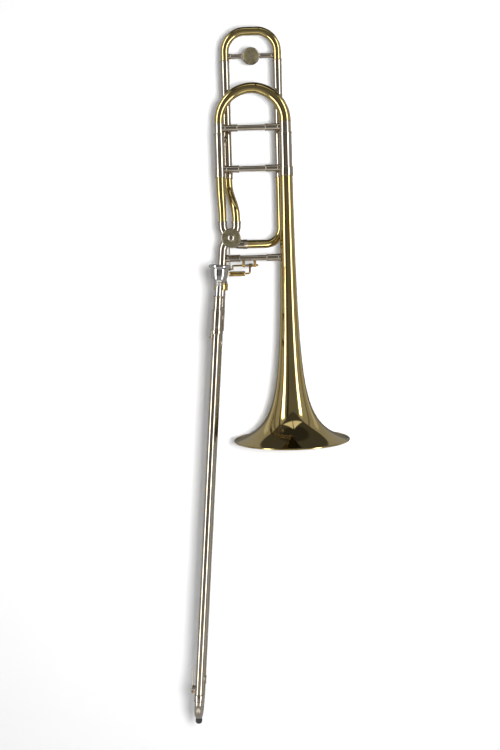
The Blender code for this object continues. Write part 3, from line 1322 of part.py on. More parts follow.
def make_water_key():
    """The nipple and hinge saddle on the outer tube, and the sprung key that closes the nipple."""
    out = KEY_HINGE_OUT
    turn = TURN_TO_LEFT
    foot = OUTER_TUBE_RADIUS - 0.0020
    ear_end = out + KEY_EAR_MARGIN
    half_slot = KEY_SLOT_HALF
    half_block = half_slot + KEY_EAR_THICKNESS
    size = (ear_end - foot, 2.0 * half_block, KEY_SADDLE_HEIGHT)
    place = (-(ear_end + foot) / 2.0, 0.0, KEY_HINGE_HEIGHT)
    saddle = box("water_key_saddle", size, "nickel_silver", outer_upper_frame, place)
    floor = OUTER_TUBE_RADIUS + 0.0014
    size = (ear_end + 0.0020 - floor, 2.0 * half_slot, 0.0080)
    place = (-(ear_end + 0.0020 + floor) / 2.0, 0.0, KEY_HINGE_HEIGHT)
    slot = box("saddle_slot", size, None, outer_upper_frame, place)
    pin_hole_outline = rod_outline(KEY_ROD_RADIUS + RUNNING_GAP, 0.02, -0.02)
    pin_hole = turned("saddle_hole", pin_hole_outline, None, key_frame, rotation=TURN_TO_BACK)
    plate_top = KEY_HINGE_HEIGHT + 0.0010
    plate_foot = foot + 0.0004
    plate_face = floor - 0.0002
    plate_bottom = KEY_HINGE_HEIGHT - KEY_NIPPLE_DROP - NIPPLE_RADIUS - 0.0010
    size = (plate_face - plate_foot, 2.0 * NIPPLE_RADIUS + 0.0020, plate_top - plate_bottom)
    place = (-(plate_face + plate_foot) / 2.0, 0.0, (plate_top + plate_bottom) / 2.0)
    plate = box("saddle_plate", size, None, outer_upper_frame, place)
    nipple_place = (0.0, 0.0, KEY_HINGE_HEIGHT - KEY_NIPPLE_DROP)
    nipple_end = OUTER_TUBE_RADIUS + NIPPLE_LENGTH
    stub = rod_outline(NIPPLE_RADIUS, nipple_end, foot + 0.0008)
    nipple = turned("nipple", stub, None, outer_upper_frame, nipple_place, turn, SMALL_ROUND)
    bore = rod_outline(NIPPLE_RADIUS - 0.0010, nipple_end + 0.0010, foot - 0.0010)
    hole = turned("nipple_bore", bore, None, outer_upper_frame, nipple_place, turn, SMALL_ROUND)
    seat_reach = 2.0 * (plate_top - plate_bottom)
    tube_space = rod_outline(OUTER_TUBE_RADIUS + GAP, plate_top + seat_reach, plate_bottom - seat_reach)
    seat = turned("saddle_seat", tube_space, None, outer_upper_frame, rotation=(0.0, 0.0, math.pi / ROUND))
    cut(saddle, slot)
    join(saddle, plate, nipple)
    cut(saddle, hole, seat, pin_hole)
    for step in saddle.modifiers:
        step.solver = "MANIFOLD"

    cork_front = out - nipple_end - GAP
    cork_back = cork_front - KEY_CORK_THICKNESS
    cork = rod_outline(KEY_CORK_RADIUS - 0.0004, -cork_back, -cork_front)
    cork_place = (0.0, 0.0, -KEY_NIPPLE_DROP)
    turned("water_key_cork", cork, "cork", key_frame, cork_place, turn, SMALL_ROUND)
    cup_front = -cork_back + GAP
    cup = rod_outline(KEY_CORK_RADIUS, cup_front + KEY_CUP_THICKNESS, cup_front)
    cup_mid = cork_back - GAP - KEY_ROD_RADIUS - 0.0001
    path = [
        Vector((cup_mid, 0.0, -KEY_NIPPLE_DROP)),
        Vector((cup_mid - 0.0008, 0.0, -KEY_NIPPLE_DROP + 0.0040)),
        Vector((-0.0008, 0.0, -0.0020)),
        Vector((-0.0004, 0.0, 0.0020)),
        Vector((-0.0012, 0.0, KEY_LEVER_LENGTH * 0.4)),
        Vector((-0.0020, 0.0, KEY_LEVER_LENGTH)),
    ]
    lever = swept("water_key_lever", path, KEY_ROD_RADIUS, "nickel_silver", key_frame, sides=ROD_SIDES)
    lever = as_mesh(lever)
    join(lever, turned("key_cup", cup, None, key_frame, cork_place, turn, SMALL_ROUND))
    pin_half = half_block + 0.0006
    pin = rod_outline(KEY_ROD_RADIUS, pin_half, -pin_half)
    join(lever, turned("key_pin", pin, None, key_frame, rotation=TURN_TO_BACK, steps=SMALL_ROUND))

    coil_radius = KEY_ROD_RADIUS + KEY_SPRING_WIRE + GAP
    start_y = KEY_ROD_RADIUS + KEY_SPRING_WIRE + GAP
    width = half_slot - start_y - KEY_SPRING_WIRE - GAP
    coil = []
    steps = KEY_SPRING_TURNS * BEND_STEPS
    for step in range(steps + 1):
        angle = 2.0 * math.pi * step / BEND_STEPS
        y = start_y + width * step / steps
        coil.append(Vector((coil_radius * math.cos(angle), y, coil_radius * math.sin(angle))))
    swept("water_key_spring", coil, KEY_SPRING_WIRE, "spring_steel", key_frame, sides=WIRE_SIDES)


make_bell()
make_main_sleeves()
make_gooseneck()
lower_brace = make_bell_braces()
make_tuning_slide()
make_f_slide()
make_f_tubing()
make_valve()
make_stop_arm()
make_trigger(lower_brace)
make_receiver()
make_inner_slide()
make_mouthpiece()
make_outer_slide()
make_slide_lock()
make_water_key()
bpy.context.view_layer.update()
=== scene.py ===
"""The looks of a tenor trombone with an open F attachment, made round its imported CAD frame.

Lengths are in metres and +Z is up. The origin is where a stand's cone holds the bell from inside.
Each operator makes one piece or one group of like pieces, and the last one sets up the studio.
"""

import math

import bpy
from mathutils import Matrix, Vector


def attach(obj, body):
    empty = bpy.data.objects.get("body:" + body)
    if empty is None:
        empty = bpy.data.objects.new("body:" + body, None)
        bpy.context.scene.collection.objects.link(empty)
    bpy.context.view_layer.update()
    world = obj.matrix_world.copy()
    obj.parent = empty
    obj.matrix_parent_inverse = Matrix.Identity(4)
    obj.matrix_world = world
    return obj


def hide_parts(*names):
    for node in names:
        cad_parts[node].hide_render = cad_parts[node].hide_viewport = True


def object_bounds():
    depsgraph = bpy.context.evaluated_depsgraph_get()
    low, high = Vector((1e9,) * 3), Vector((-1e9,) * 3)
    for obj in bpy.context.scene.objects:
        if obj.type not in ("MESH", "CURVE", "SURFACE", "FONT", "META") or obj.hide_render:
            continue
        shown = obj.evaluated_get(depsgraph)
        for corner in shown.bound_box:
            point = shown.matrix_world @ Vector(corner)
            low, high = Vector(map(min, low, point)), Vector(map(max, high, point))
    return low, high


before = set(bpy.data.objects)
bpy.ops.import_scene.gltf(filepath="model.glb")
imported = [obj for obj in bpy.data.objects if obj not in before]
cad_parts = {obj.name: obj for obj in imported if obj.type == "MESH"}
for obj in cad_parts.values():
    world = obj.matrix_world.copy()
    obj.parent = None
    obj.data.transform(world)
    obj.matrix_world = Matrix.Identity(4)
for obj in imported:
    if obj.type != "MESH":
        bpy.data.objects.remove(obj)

bl_info = {
    "name": "Tenor trombone",
    "version": (1, 0, 0),
    "blender": (4, 5, 0),
    "location": "3D View > Sidebar > Trombone",
    "description": "Makes the visible pieces of a tenor trombone round its CAD frame",
    "category": "Object",
}

CAD_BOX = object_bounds()

# The bell section leans from the hand slide, which runs along Z
BELL_LEAN = math.radians(4.5)
STAND_HEIGHT = 0.120
VALVE_PLACE = (-0.1025, 0.0, 0.3760)
SLIDE_OFFSET = 0.0150
VALVE_TO_SLIDE = 0.1711
SLIDE_SPACING = 0.0860

TURN_TO_BACK = Matrix.Rotation(math.radians(-90.0), 4, "X")
TURN_TO_FRONT = Matrix.Rotation(math.radians(90.0), 4, "X")
TURN_TO_RIGHT = Matrix.Rotation(math.radians(90.0), 4, "Y")
TURN_TO_LEFT = Matrix.Rotation(math.radians(-90.0), 4, "Y")


def at(place, x, y, z):
    """A place moved within its own frame."""
    return place @ Matrix.Translation((x, y, z))


BELL = at(Matrix.Rotation(-BELL_LEAN, 4, "Y"), 0.0, 0.0, -STAND_HEIGHT)
VALVE = at(BELL, *VALVE_PLACE)
UPRIGHT = VALVE @ Matrix.Rotation(BELL_LEAN, 4, "Y")
SLIDE = at(UPRIGHT, -SLIDE_OFFSET, 0.0, -VALVE_TO_SLIDE)
UPPER = at(SLIDE, 0.0, -SLIDE_SPACING, 0.0)

GAP = 0.0003
WALL = 0.0005
UP = Vector((0.0, 0.0, 1.0))


# Shader maths


class Signal:
    """A node's output that plain arithmetic can be done on; each operation adds its Math node."""

    def __init__(self, nodes, socket):
        self.nodes = nodes
        self.socket = socket

    def math(self, operation, first, second=0.0):
        return self.nodes.add("ShaderNodeMath", {"operation": operation}, {0: first, 1: second})

    def __add__(self, other):
        return self.math("ADD", self, other)

    def __radd__(self, other):
        return self.math("ADD", other, self)

    def __sub__(self, other):
        return self.math("SUBTRACT", self, other)

    def __rsub__(self, other):
        return self.math("SUBTRACT", other, self)

    def __mul__(self, other):
        return self.math("MULTIPLY", self, other)

    def __rmul__(self, other):
        return self.math("MULTIPLY", other, self)

    def __truediv__(self, other):
        return self.math("DIVIDE", self, other)

    def __rtruediv__(self, other):
        return self.math("DIVIDE", other, self)

    def __pow__(self, other):
        return self.math("POWER", self, other)

    def __rpow__(self, other):
        return self.math("POWER", other, self)

    def size(self):
        """The value without its sign."""
        return self.math("ABSOLUTE", self)

    def step(self, low, high):
        """0 below low, 1 above high and a soft change between them."""
        settings = {"interpolation_type": "SMOOTHSTEP"}
        return self.nodes.add("ShaderNodeMapRange", settings, {0: self, 1: low, 2: high, 3: 0.0, 4: 1.0})

    def part(self, name):
        """Another output of the same node."""
        return Signal(self.nodes, self.socket.node.outputs[name])


class Nodes:
    """Adds nodes to the tree of a material or the world."""

    def __init__(self, tree):
        tree.nodes.clear()
        self.tree = tree

    def add(self, kind, settings=None, inputs=None, output=0):
        """A node of this type with its settings, then the values or links of its sockets."""
        node = self.tree.nodes.new(kind)
        for name, value in (settings or {}).items():
            setattr(node, name, value)
        for key, value in (inputs or {}).items():
            if isinstance(value, Signal):
                self.tree.links.new(value.socket, node.inputs[key])
            else:
                node.inputs[key].default_value = value
        return Signal(self, node.outputs[output]) if node.outputs else node

    def place(self, stretch=(1.0, 1.0, 1.0)):
        """Object coordinates, scaled."""
        coordinates = self.add("ShaderNodeTexCoord", output="Object")
        return self.add("ShaderNodeMapping", None, {"Vector": coordinates, "Scale": stretch})

    def noise(self, place, scale, detail=2.0, roughness=0.5):
        """Soft noise from 0 to 1, with about scale lumps in a metre."""
        values = {"Vector": place, "Scale": scale, "Detail": detail, "Roughness": roughness}
        return self.add("ShaderNodeTexNoise", {"noise_dimensions": "3D"}, values)

    def mix(self, amount, first, second):
        """A colour between two colours."""
        return self.add("ShaderNodeMix", {"data_type": "RGBA"}, {0: amount, 6: first, 7: second}, 2)

    def bump(self, height, strength, distance):
        """A normal that follows small heights."""
        values = {"Strength": strength, "Distance": distance, "Height": height}
        return self.add("ShaderNodeBump", None, values)

    def surface(self, shader):
        """Send a shader to the material's output."""
        self.add("ShaderNodeOutputMaterial", None, {"Surface": shader})


def new_material(name):
    """An empty node material and its tree."""
    made = bpy.data.materials.new(name)
    made.use_nodes = True
    return made, Nodes(made.node_tree)


def darker(colour, amount, warmth=0.0):
    """The colour made darker, and a little warmer."""
    red, green, blue = (part * amount for part in colour[:3])
    return (red, green * (1.0 - 0.35 * warmth), blue * (1.0 - warmth), 1.0)


def polished_metal(name, colour, roughness, haze, ripple, coat):
    """Polished metal: slow patches of tone, handling marks that dull it, fine lines and a faint ripple."""
    made, nodes = new_material(name)
    place = nodes.place()
    patches = nodes.noise(place, 21.0, 3.0)
    spots = nodes.noise(place, 330.0, 4.0, 0.6)
    marks = nodes.noise(place, 75.0, 5.0, 0.65).step(0.52, 0.72)
    lines = nodes.noise(nodes.place((1.0, 1.0, 0.04)), 1900.0, 2.0)
    tone = nodes.mix(patches.step(0.30, 0.75), darker(colour, 1.0), darker(colour, 0.90, 0.10))
    tone = nodes.mix(spots.step(0.66, 0.80) * 0.35, tone, darker(colour, 0.62, 0.25))
    dull = roughness + marks * haze + lines * haze * 0.35
    height = nodes.noise(place, 46.0, 2.0) + lines * 0.02 + spots * 0.03
    values = {
        "Base Color": tone,
        "Metallic": 1.0,
        "Roughness": dull,
        "Normal": nodes.bump(height, 1.0, ripple),
        "Coat Weight": coat,
        "Coat Roughness": 0.04,
        "Coat IOR": 1.45,
    }
    nodes.surface(nodes.add("ShaderNodeBsdfPrincipled", None, values))
    return made


def satin_metal(name, colour, roughness):
    """Brushed metal with fine turned lines about the valve's axis and darker patina."""
    made, nodes = new_material(name)
    place = nodes.place()
    patina = nodes.noise(place, 160.0, 5.0, 0.6)
    grit = nodes.noise(nodes.place((1.0, 3.0, 1.0)), 2300.0, 2.0)
    tone = nodes.mix(patina.step(0.35, 0.70), darker(colour, 1.12), darker(colour, 0.70, 0.12))
    values = {
        "Base Color": nodes.mix(grit.step(0.45, 0.75) * 0.4, tone, darker(colour, 0.60)),
        "Metallic": 1.0,
        "Roughness": roughness + patina * 0.18 - grit * 0.10,
        "Normal": nodes.bump(grit + patina * 0.5, 0.6, 0.00004),
    }
    nodes.surface(nodes.add("ShaderNodeBsdfPrincipled", None, values))
    return made


def cork_grain(name, colour):
    """Pressed cork: light grains with dark seams and pores."""
    made, nodes = new_material(name)
    place = nodes.place()
    cells = {"Vector": place, "Scale": 1500.0}
    grains = nodes.add("ShaderNodeTexVoronoi", {"feature": "F1"}, cells, "Distance")
    pores = nodes.noise(place, 2600.0, 3.0)
    tone = nodes.mix(grains.step(0.15, 0.85), darker(colour, 1.15), darker(colour, 0.62, 0.2))
    values = {
        "Base Color": nodes.mix(pores.step(0.60, 0.75), tone, darker(colour, 0.35, 0.2)),
        "Roughness": 0.78 + pores * 0.15,
        "Normal": nodes.bump(pores - grains * 0.6, 0.7, 0.0001),
    }
    nodes.surface(nodes.add("ShaderNodeBsdfPrincipled", None, values))
    return made


def moulded_rubber(name, colour):
    """Matt rubber with a bloom of grey where it is handled."""
    made, nodes = new_material(name)
    place = nodes.place()
    bloom = nodes.noise(place, 420.0, 4.0, 0.6)
    grain = nodes.noise(place, 3200.0, 2.0)
    values = {
        "Base Color": nodes.mix(bloom.step(0.40, 0.75), darker(colour, 1.0), darker(colour, 2.2)),
        "Roughness": 0.46 + bloom * 0.22,
        "Normal": nodes.bump(grain + bloom * 0.5, 0.4, 0.00005),
    }
    nodes.surface(nodes.add("ShaderNodeBsdfPrincipled", None, values))
    return made


# Colour, roughness above the cleanest metal, haze, ripple and coat of each polished metal
POLISHED = {
    "lacquered_brass": ("brass", 0.0, 0.05, 0.00004, 0.25),
    "nickel_silver": ("nickel_silver", 0.02, 0.06, 0.00003, 0.0),
    "silver_plate": ("silver", 0.0, 0.05, 0.00002, 0.0),
    "gold_plate": ("gold", 0.03, 0.06, 0.00002, 0.2),
    "spring_steel": ("steel", 0.10, 0.10, 0.00001, 0.0),
}


def finish(name):
    """The material of one of the trombone's finishes, made the first time that it is asked for."""
    if name in bpy.data.materials and bpy.data.materials[name].get("trombone_finish"):
        return bpy.data.materials[name]
    colours = bpy.context.scene.trombone_finishes
    if name in bpy.data.materials:
        bpy.data.materials[name].name = f"{name}_cad"
    if name in POLISHED:
        metal, rougher, *wear = POLISHED[name]
        made = polished_metal(name, getattr(colours, metal), colours.polish + rougher, *wear)
    elif name == "satin_bronze":
        made = satin_metal(name, colours.bronze, 0.45)
    elif name == "cork":
        made = cork_grain(name, colours.cork)
    elif name == "black_rubber":
        made = moulded_rubber(name, colours.rubber)
    else:
        raise ValueError(f"no finish is called {name}")
    made["trombone_finish"] = True
    return made


# Modelling


FINE = 0.0000005  # points closer than this are merged
CRISP = math.radians(38.0)
SOFT = 0.00012


def leave_all():
    """Nothing is selected, so that an operator acts on the new piece alone."""
    bpy.ops.object.select_all(action="DESELECT")


def pick(*pieces):
    """Select these pieces alone and make the first one active."""
    leave_all()
    for piece in pieces:
        piece.select_set(True)
    bpy.context.view_layer.objects.active = pieces[0]


def named(name):
    """Name the piece that an operator has just made."""
    piece = bpy.context.object
    piece.name = name
    piece.data.name = name
    return piece


def merge_points():
    """Select the whole mesh and merge the points that coincide."""
    bpy.ops.mesh.select_all(action="SELECT")
    bpy.ops.mesh.remove_doubles(threshold=FINE)


def shade(piece):
    """Smooth shading with the turned corners kept crisp."""
    pick(piece)
    bpy.ops.object.shade_smooth_by_angle(angle=CRISP)


def apply_modifier(piece, kind, **settings):
    """Add a modifier to the piece, set it and apply it."""
    pick(piece)
    bpy.ops.object.modifier_add(type=kind)
    step = piece.modifiers[-1]
    for name, value in settings.items():
        setattr(step, name, value)
    bpy.ops.object.modifier_apply(modifier=step.name)


def set_down(piece, place):
    """Put the piece in its place and keep the place in its mesh."""
    pick(piece)
    piece.matrix_world = place
    bpy.ops.object.transform_apply(location=True, rotation=True, scale=True)


def turned(name, outline, place, steps, soften=0.0, wall=0.0, grooves=None):
    """Draw half of the section as a chain of points and spin it about Z.

    The (radius, height) points run down the outer side and up the bore or the axis. Corners may be softened
    by a small bevel. With a wall, the chain is one open shell that is thickened inwards. Grooves are the
    lowest and highest height and the depth of knurling on the outer side, one groove to every second step.
    """
    leave_all()
    bpy.ops.mesh.primitive_plane_add(size=0.001)
    piece = named(name)
    bpy.ops.object.mode_set(mode="EDIT")
    bpy.ops.mesh.select_all(action="SELECT")
    bpy.ops.mesh.merge(type="CENTER")
    bpy.ops.transform.translate(value=(outline[0][0], 0.0, outline[0][1]))
    closed = not wall and outline[0][0] > 0.0 and outline[-1][0] > 0.0
    chain = outline + outline[:1] if closed else outline
    for (radius, height), (next_radius, next_height) in zip(chain, chain[1:]):
        move = (next_radius - radius, 0.0, next_height - height)
        bpy.ops.mesh.extrude_vertices_move(TRANSFORM_OT_translate={"value": move})
    merge_points()
    bpy.ops.mesh.spin(steps=steps, angle=2.0 * math.pi, center=(0.0, 0.0, 0.0), axis=(0.0, 0.0, 1.0))
    merge_points()
    bpy.ops.mesh.normals_make_consistent(inside=False)
    bpy.ops.object.mode_set(mode="OBJECT")
    if wall:
        face_out(piece)
        apply_modifier(piece, "SOLIDIFY", thickness=wall, offset=-1.0, use_even_offset=True)
    if grooves:
        knurl(piece, steps, *grooves)
    if soften:
        corner = math.radians(32.0)
        apply_modifier(piece, "BEVEL", width=soften, segments=2, limit_method="ANGLE", angle_limit=corner)
    set_down(piece, place)
    shade(piece)
    return piece


def knurl(piece, steps, low, high, depth):
    """Press every second face of the outer side inwards."""
    outer = max(math.hypot(face.center.x, face.center.y) for face in piece.data.polygons)
    for vertex in piece.data.vertices:
        vertex.select = False
    for edge in piece.data.edges:
        edge.select = False
    for face in piece.data.polygons:
        column = round(math.atan2(face.center.y, face.center.x) / (2.0 * math.pi) * steps - 0.5) % 2
        on_side = math.hypot(face.center.x, face.center.y) > outer - 0.0003 and low < face.center.z < high
        face.select = bool(on_side and column)
    bpy.ops.object.mode_set(mode="EDIT")
    bpy.context.tool_settings.mesh_select_mode = (False, False, True)
    bpy.ops.mesh.extrude_region_shrink_fatten(TRANSFORM_OT_shrink_fatten={"value": -depth})
    bpy.ops.object.mode_set(mode="OBJECT")
    bpy.context.tool_settings.mesh_select_mode = (True, False, False)


def face_out(piece):
    """Turn an open shell of revolution about Z so that its faces point away from the axis."""
    face = max(piece.data.polygons, key=lambda one: one.center.x**2 + one.center.y**2)
    if face.normal.x * face.center.x + face.normal.y * face.center.y < 0.0 and abs(face.normal.z) < 0.999:
        bpy.ops.object.mode_set(mode="EDIT")
        bpy.ops.mesh.select_all(action="SELECT")
        bpy.ops.mesh.flip_normals()
        bpy.ops.object.mode_set(mode="OBJECT")


def drawn(name, points, radii, place, wall=0.0, sides=28):
    """Draw a path, give it a round section of one radius or one for each point, and make it a mesh."""
    radii = radii if isinstance(radii, list) else [radii] * len(points)
    leave_all()
    bpy.ops.curve.primitive_nurbs_path_add()
    curve = bpy.context.object.data
    curve.splines.clear()
    line = curve.splines.new("POLY")
    line.points.add(len(points) - 1)
    for knot, point, radius in zip(line.points, points, radii):
        knot.co = (*point, 1.0)
        knot.radius = radius
    curve.bevel_depth = 1.0
    curve.bevel_resolution = (sides - 4) // 2
    curve.use_fill_caps = not wall
    bpy.ops.object.convert(target="MESH")
    piece = named(name)
    bpy.ops.object.mode_set(mode="EDIT")
    merge_points()
    bpy.ops.object.mode_set(mode="OBJECT")
    if wall:
        apply_modifier(piece, "SOLIDIFY", thickness=wall, offset=-1.0)
    set_down(piece, place)
    shade(piece)
    return piece


def block(name, size, place, soften):
    """A block with softened edges."""
    leave_all()
    bpy.ops.mesh.primitive_cube_add(size=1.0, scale=size)
    piece = named(name)
    bpy.ops.object.transform_apply(location=True, rotation=True, scale=True)
    bpy.ops.object.mode_set(mode="EDIT")
    bpy.ops.mesh.select_all(action="SELECT")
    bpy.ops.mesh.bevel(offset=soften, segments=3, affect="EDGES")
    bpy.ops.object.mode_set(mode="OBJECT")
    set_down(piece, place)
    shade(piece)
    return piece


def cut(piece, tool):
    """Take the tool's shape out of the piece and remove the tool."""
    apply_modifier(piece, "BOOLEAN", operation="DIFFERENCE", object=tool, solver="EXACT")
    bpy.data.objects.remove(tool, do_unlink=True)
    shade(piece)
    return piece


def united(name, *parts):
    """Join parts that are soldered together into one piece."""
    pick(*parts)
    bpy.ops.object.join()
    return named(name)


def settle(piece, body, finish_name, *nodes):
    """Give the piece its finish, let it ride on its body and stand for its CAD nodes."""
    piece.data.materials.clear()
    piece.data.materials.append(finish(finish_name))
    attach(piece, body)
    if nodes:
        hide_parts(*nodes)


# Outlines and paths


def ring(outer, bore, top, bottom):
    """Section of a plain tube."""
    return [(outer, top), (outer, bottom), (bore, bottom), (bore, top)]


def rod(radius, top, bottom):
    """Section of a solid rod."""
    return [(0.0, top), (radius, top), (radius, bottom), (0.0, bottom)]


def bead(radius, height, size, count=6):
    """Points of a half round bead on an outer side, from its top down."""
    points = []
    for step in range(count + 1):
        angle = math.pi * step / count
        points.append((radius + size * math.sin(angle), height + size * math.cos(angle)))
    return points


def ball(radius, middle, count=14):
    """Section of a ball about a point of the axis."""
    return [(0.0, middle + radius)] + bead(0.0, middle, radius, count)[1:-1] + [(0.0, middle - radius)]


def band(radius, top, low, drop, size, flat):
    """Outer side of a ferrule: a rolled ring near its top, a plain middle and a rolled ring near its foot."""
    upper, lower = bead(radius - 0.0001, top - drop, size), bead(radius - 0.0001, low + drop, size)
    return upper + [(radius, top - flat), (radius, low + flat)] + lower


def raised(base, *points):
    """The points of an outline, with their heights counted from a base."""
    return [(radius, base + height) for radius, height in points]


def smooth(knots, count):
    """More points along an outline or a path, on a soft curve through its knots."""
    points = []
    for index in range(len(knots) - 1):
        before = Vector(knots[max(index - 1, 0)])
        first, second = Vector(knots[index]), Vector(knots[index + 1])
        after = Vector(knots[min(index + 2, len(knots) - 1)])
        for step in range(count):
            t = step / count
            start = (second - before) * 0.5
            end = (after - first) * 0.5
            point = first * (2 * t**3 - 3 * t**2 + 1) + start * (t**3 - 2 * t**2 + t)
            point += second * (3 * t**2 - 2 * t**3) + end * (t**3 - t**2)
            points.append(tuple(point))
    points.append(tuple(knots[-1]))
    return points


def bezier(start, start_handle, end_handle, end, count=24):
    """Points along a cubic curve."""
    points = []
    for step in range(count + 1):
        t = step / count
        point = Vector(start) * (1.0 - t) ** 3
        point += Vector(start_handle) * 3.0 * t * (1.0 - t) ** 2
        point += Vector(end_handle) * 3.0 * t * t * (1.0 - t)
        point += Vector(end) * t**3
        points.append(point)
    return points


def arc(centre, radius, start, end, along=(1.0, 0.0, 0.0), up=(0.0, 0.0, 1.0), count=24):
    """Points on an arc in the plane of two directions, with angles in radians from the first one."""
    points = []
    for step in range(count + 1):
        angle = start + (end - start) * step / count
        point = Vector(centre) + Vector(along) * radius * math.cos(angle)
        points.append(point + Vector(up) * radius * math.sin(angle))
    return points


def coil(radius, turns, start, end):
    """Points of an open coil: how far along its axis each one lies, and its two offsets from the axis."""
    points = []
    for step in range(24 * turns + 1):
        angle = 2.0 * math.pi * step / 24
        along = start + (end - start) * step / (24 * turns)
        points.append((along, radius * math.cos(angle), radius * math.sin(angle)))
    return points


def tapered(first, last, count):
    """Evenly changing radii for a drawn tube."""
    return [first + (last - first) * step / (count - 1) for step in range(count)]


# What a user would change


def colour_choice(name, description, default):
    """A colour that a user can change."""
    settings = {"subtype": "COLOR", "min": 0.0, "max": 1.0}
    return bpy.props.FloatVectorProperty(name=name, description=description, default=default, **settings)


class TromboneFinishes(bpy.types.PropertyGroup):
    """Colours and polish of the finishes."""

    brass: colour_choice("Brass", "Lacquered brass of the bell and crooks", (0.78, 0.61, 0.26))
    nickel_silver: colour_choice("Nickel silver", "Slide tubes, sleeves and braces", (0.74, 0.66, 0.54))
    silver: colour_choice("Silver", "Plating of the mouthpiece", (0.84, 0.82, 0.80))
    gold: colour_choice("Gold", "Plating of the trigger and lock nut", (0.86, 0.60, 0.22))
    bronze: colour_choice("Bronze", "Satin valve cap and medallion", (0.46, 0.40, 0.25))
    steel: colour_choice("Steel", "Spring wire", (0.56, 0.57, 0.58))
    cork: colour_choice("Cork", "Stop corks and water key cork", (0.50, 0.33, 0.18))
    rubber: colour_choice("Rubber", "End bumper", (0.018, 0.018, 0.020))
    polish: bpy.props.FloatProperty(
        name="Roughness", description="Roughness of the cleanest metal", default=0.06, min=0.0, max=1.0,
        subtype="FACTOR")


class TromboneStudio(bpy.types.PropertyGroup):
    """Sizes and brightness of the studio."""

    background: colour_choice("Background", "Paper of the floor and the backdrop", (0.80, 0.80, 0.80))
    backdrop_distance: bpy.props.FloatProperty(
        name="Backdrop distance", description="From the bell's axis to the paper behind", default=0.120,
        min=0.11, subtype="DISTANCE", unit="LENGTH")
    camera_distance: bpy.props.FloatProperty(
        name="Camera distance", description="From the bell's axis to the camera", default=1.9035,
        min=0.5, subtype="DISTANCE", unit="LENGTH")
    shadow_light: bpy.props.FloatProperty(
        name="Shadow light", description="Power of the lamp that throws the soft shadow", default=46.0,
        min=0.0)
    room_light: bpy.props.FloatProperty(
        name="Room light", description="Brightness of the room on plain surfaces", default=0.27, min=0.0)


# Sizes that several pieces share, measured in the bell section from the bell's rim

BELL_LENGTH = 0.4946
BELL_RADIUS = 0.108
RIM_BEAD = 0.0016
STEM_RADIUS = 0.0077
LEG_SPACING = 0.1196
BELL_LEG = 0.0110
NECK_LEG = 0.00835
F_TUBE = 0.0076
F_LEG = 0.0073
PIPE_INSET = 0.0090
SLEEVE_BOTTOM = BELL_LENGTH - PIPE_INSET
SLEEVE_MOUTH = SLEEVE_BOTTOM + 0.0794
CROOK_HEIGHT = SLEEVE_MOUTH + 0.0185
F_SLEEVE_MOUTH = SLEEVE_BOTTOM + 0.2124
F_DEPTH = 0.0260
F_HALF = 0.04775
F_CENTRE = -0.0588
RING_STEP = 0.0007
BRACE_RADIUS = 0.0049
SOCKET_STEP = 0.00135
LOWER_BRACE_HEIGHT = VALVE_PLACE[2] - 0.0368
NECKPIPE = 0.0080
KNUCKLE = 0.0082
KNUCKLE_REACH = 0.0310
NECK_PORT = -0.0155
INLET_PORT = 0.0095
RETURN_PORT = Vector((0.0275, 0.0030, -0.0115))
TENON = 0.0087
TENON_FLANGE = 0.0772
TENON_FLANGE_TOP = TENON_FLANGE + 0.0014
TENON_TOP = TENON_FLANGE_TOP + 0.0167
RECEIVER_TOP = TENON_FLANGE_TOP + GAP + 0.0250

TUNING = at(BELL, -LEG_SPACING / 2.0, 0.0, CROOK_HEIGHT)
F_SLIDE = at(BELL, F_CENTRE, F_DEPTH, F_SLEEVE_MOUTH)


def brace(name, left, right, left_radius, right_radius, place, radius=BRACE_RADIUS):
    """A tube brace between two tubes' axes, with a ringed socket and a collar at each end."""
    run = Vector(right) - Vector(left)
    length = run.length
    near, far = left_radius, length - right_radius
    reach = min(0.0250, 0.3 * (far - near))
    socket = radius + SOCKET_STEP
    collar = socket + RING_STEP
    outline = [(0.0, length - right_radius * 0.35), (collar, length - right_radius * 0.35)]
    outline += [(collar, far - 0.0020)] + bead(socket, far - 0.0027, 0.0007)
    outline += bead(socket, far - reach + 0.0006, 0.0006)
    outline += [(radius, far - reach), (radius, near + reach)]
    outline += bead(socket, near + reach - 0.0006, 0.0006)
    outline += bead(socket, near + 0.0027, 0.0007)
    outline += [(collar, near + 0.0020), (collar, left_radius * 0.35), (0.0, left_radius * 0.35)]
    turn = run.to_track_quat("Z", "Y").to_matrix().to_4x4()
    return turned(name, outline, at(place, *left) @ turn, steps=40)


def sleeve(name, place, leg, mouth, pipe):
    """The fixed outer tube of a tuning slide: a rolled ring at its mouth, a ferrule round the pipe below."""
    bore = leg + GAP
    outer = bore + WALL
    pipe_bore = pipe + GAP
    ferrule = max(outer, pipe_bore + WALL) + RING_STEP * 0.6
    top = SLEEVE_BOTTOM + 0.0170
    outline = [(outer + 0.0002, mouth)] + bead(outer, mouth - 0.0009, 0.0007)
    outline += [(outer + 0.0003, mouth - 0.0018), (outer + 0.0003, mouth - 0.0035), (outer, mouth - 0.0036)]
    outline += [(outer, top)] + band(ferrule, top, SLEEVE_BOTTOM, 0.0006, 0.0005, 0.0013)
    outline += [
        (pipe_bore, SLEEVE_BOTTOM), (pipe_bore, BELL_LENGTH + GAP), (bore, BELL_LENGTH + GAP), (bore, mouth),
    ]
    return turned(name, outline, place, steps=48)


def bell_radius_at(height):
    """Outer radius of the bell at a height above its rim: a horn that opens ever faster."""
    edge = BELL_RADIUS - 2.0 * RIM_BEAD - GAP
    reach = (0.0372 / (height + 0.0372)) ** 1.186
    return STEM_RADIUS + (edge - STEM_RADIUS) * reach


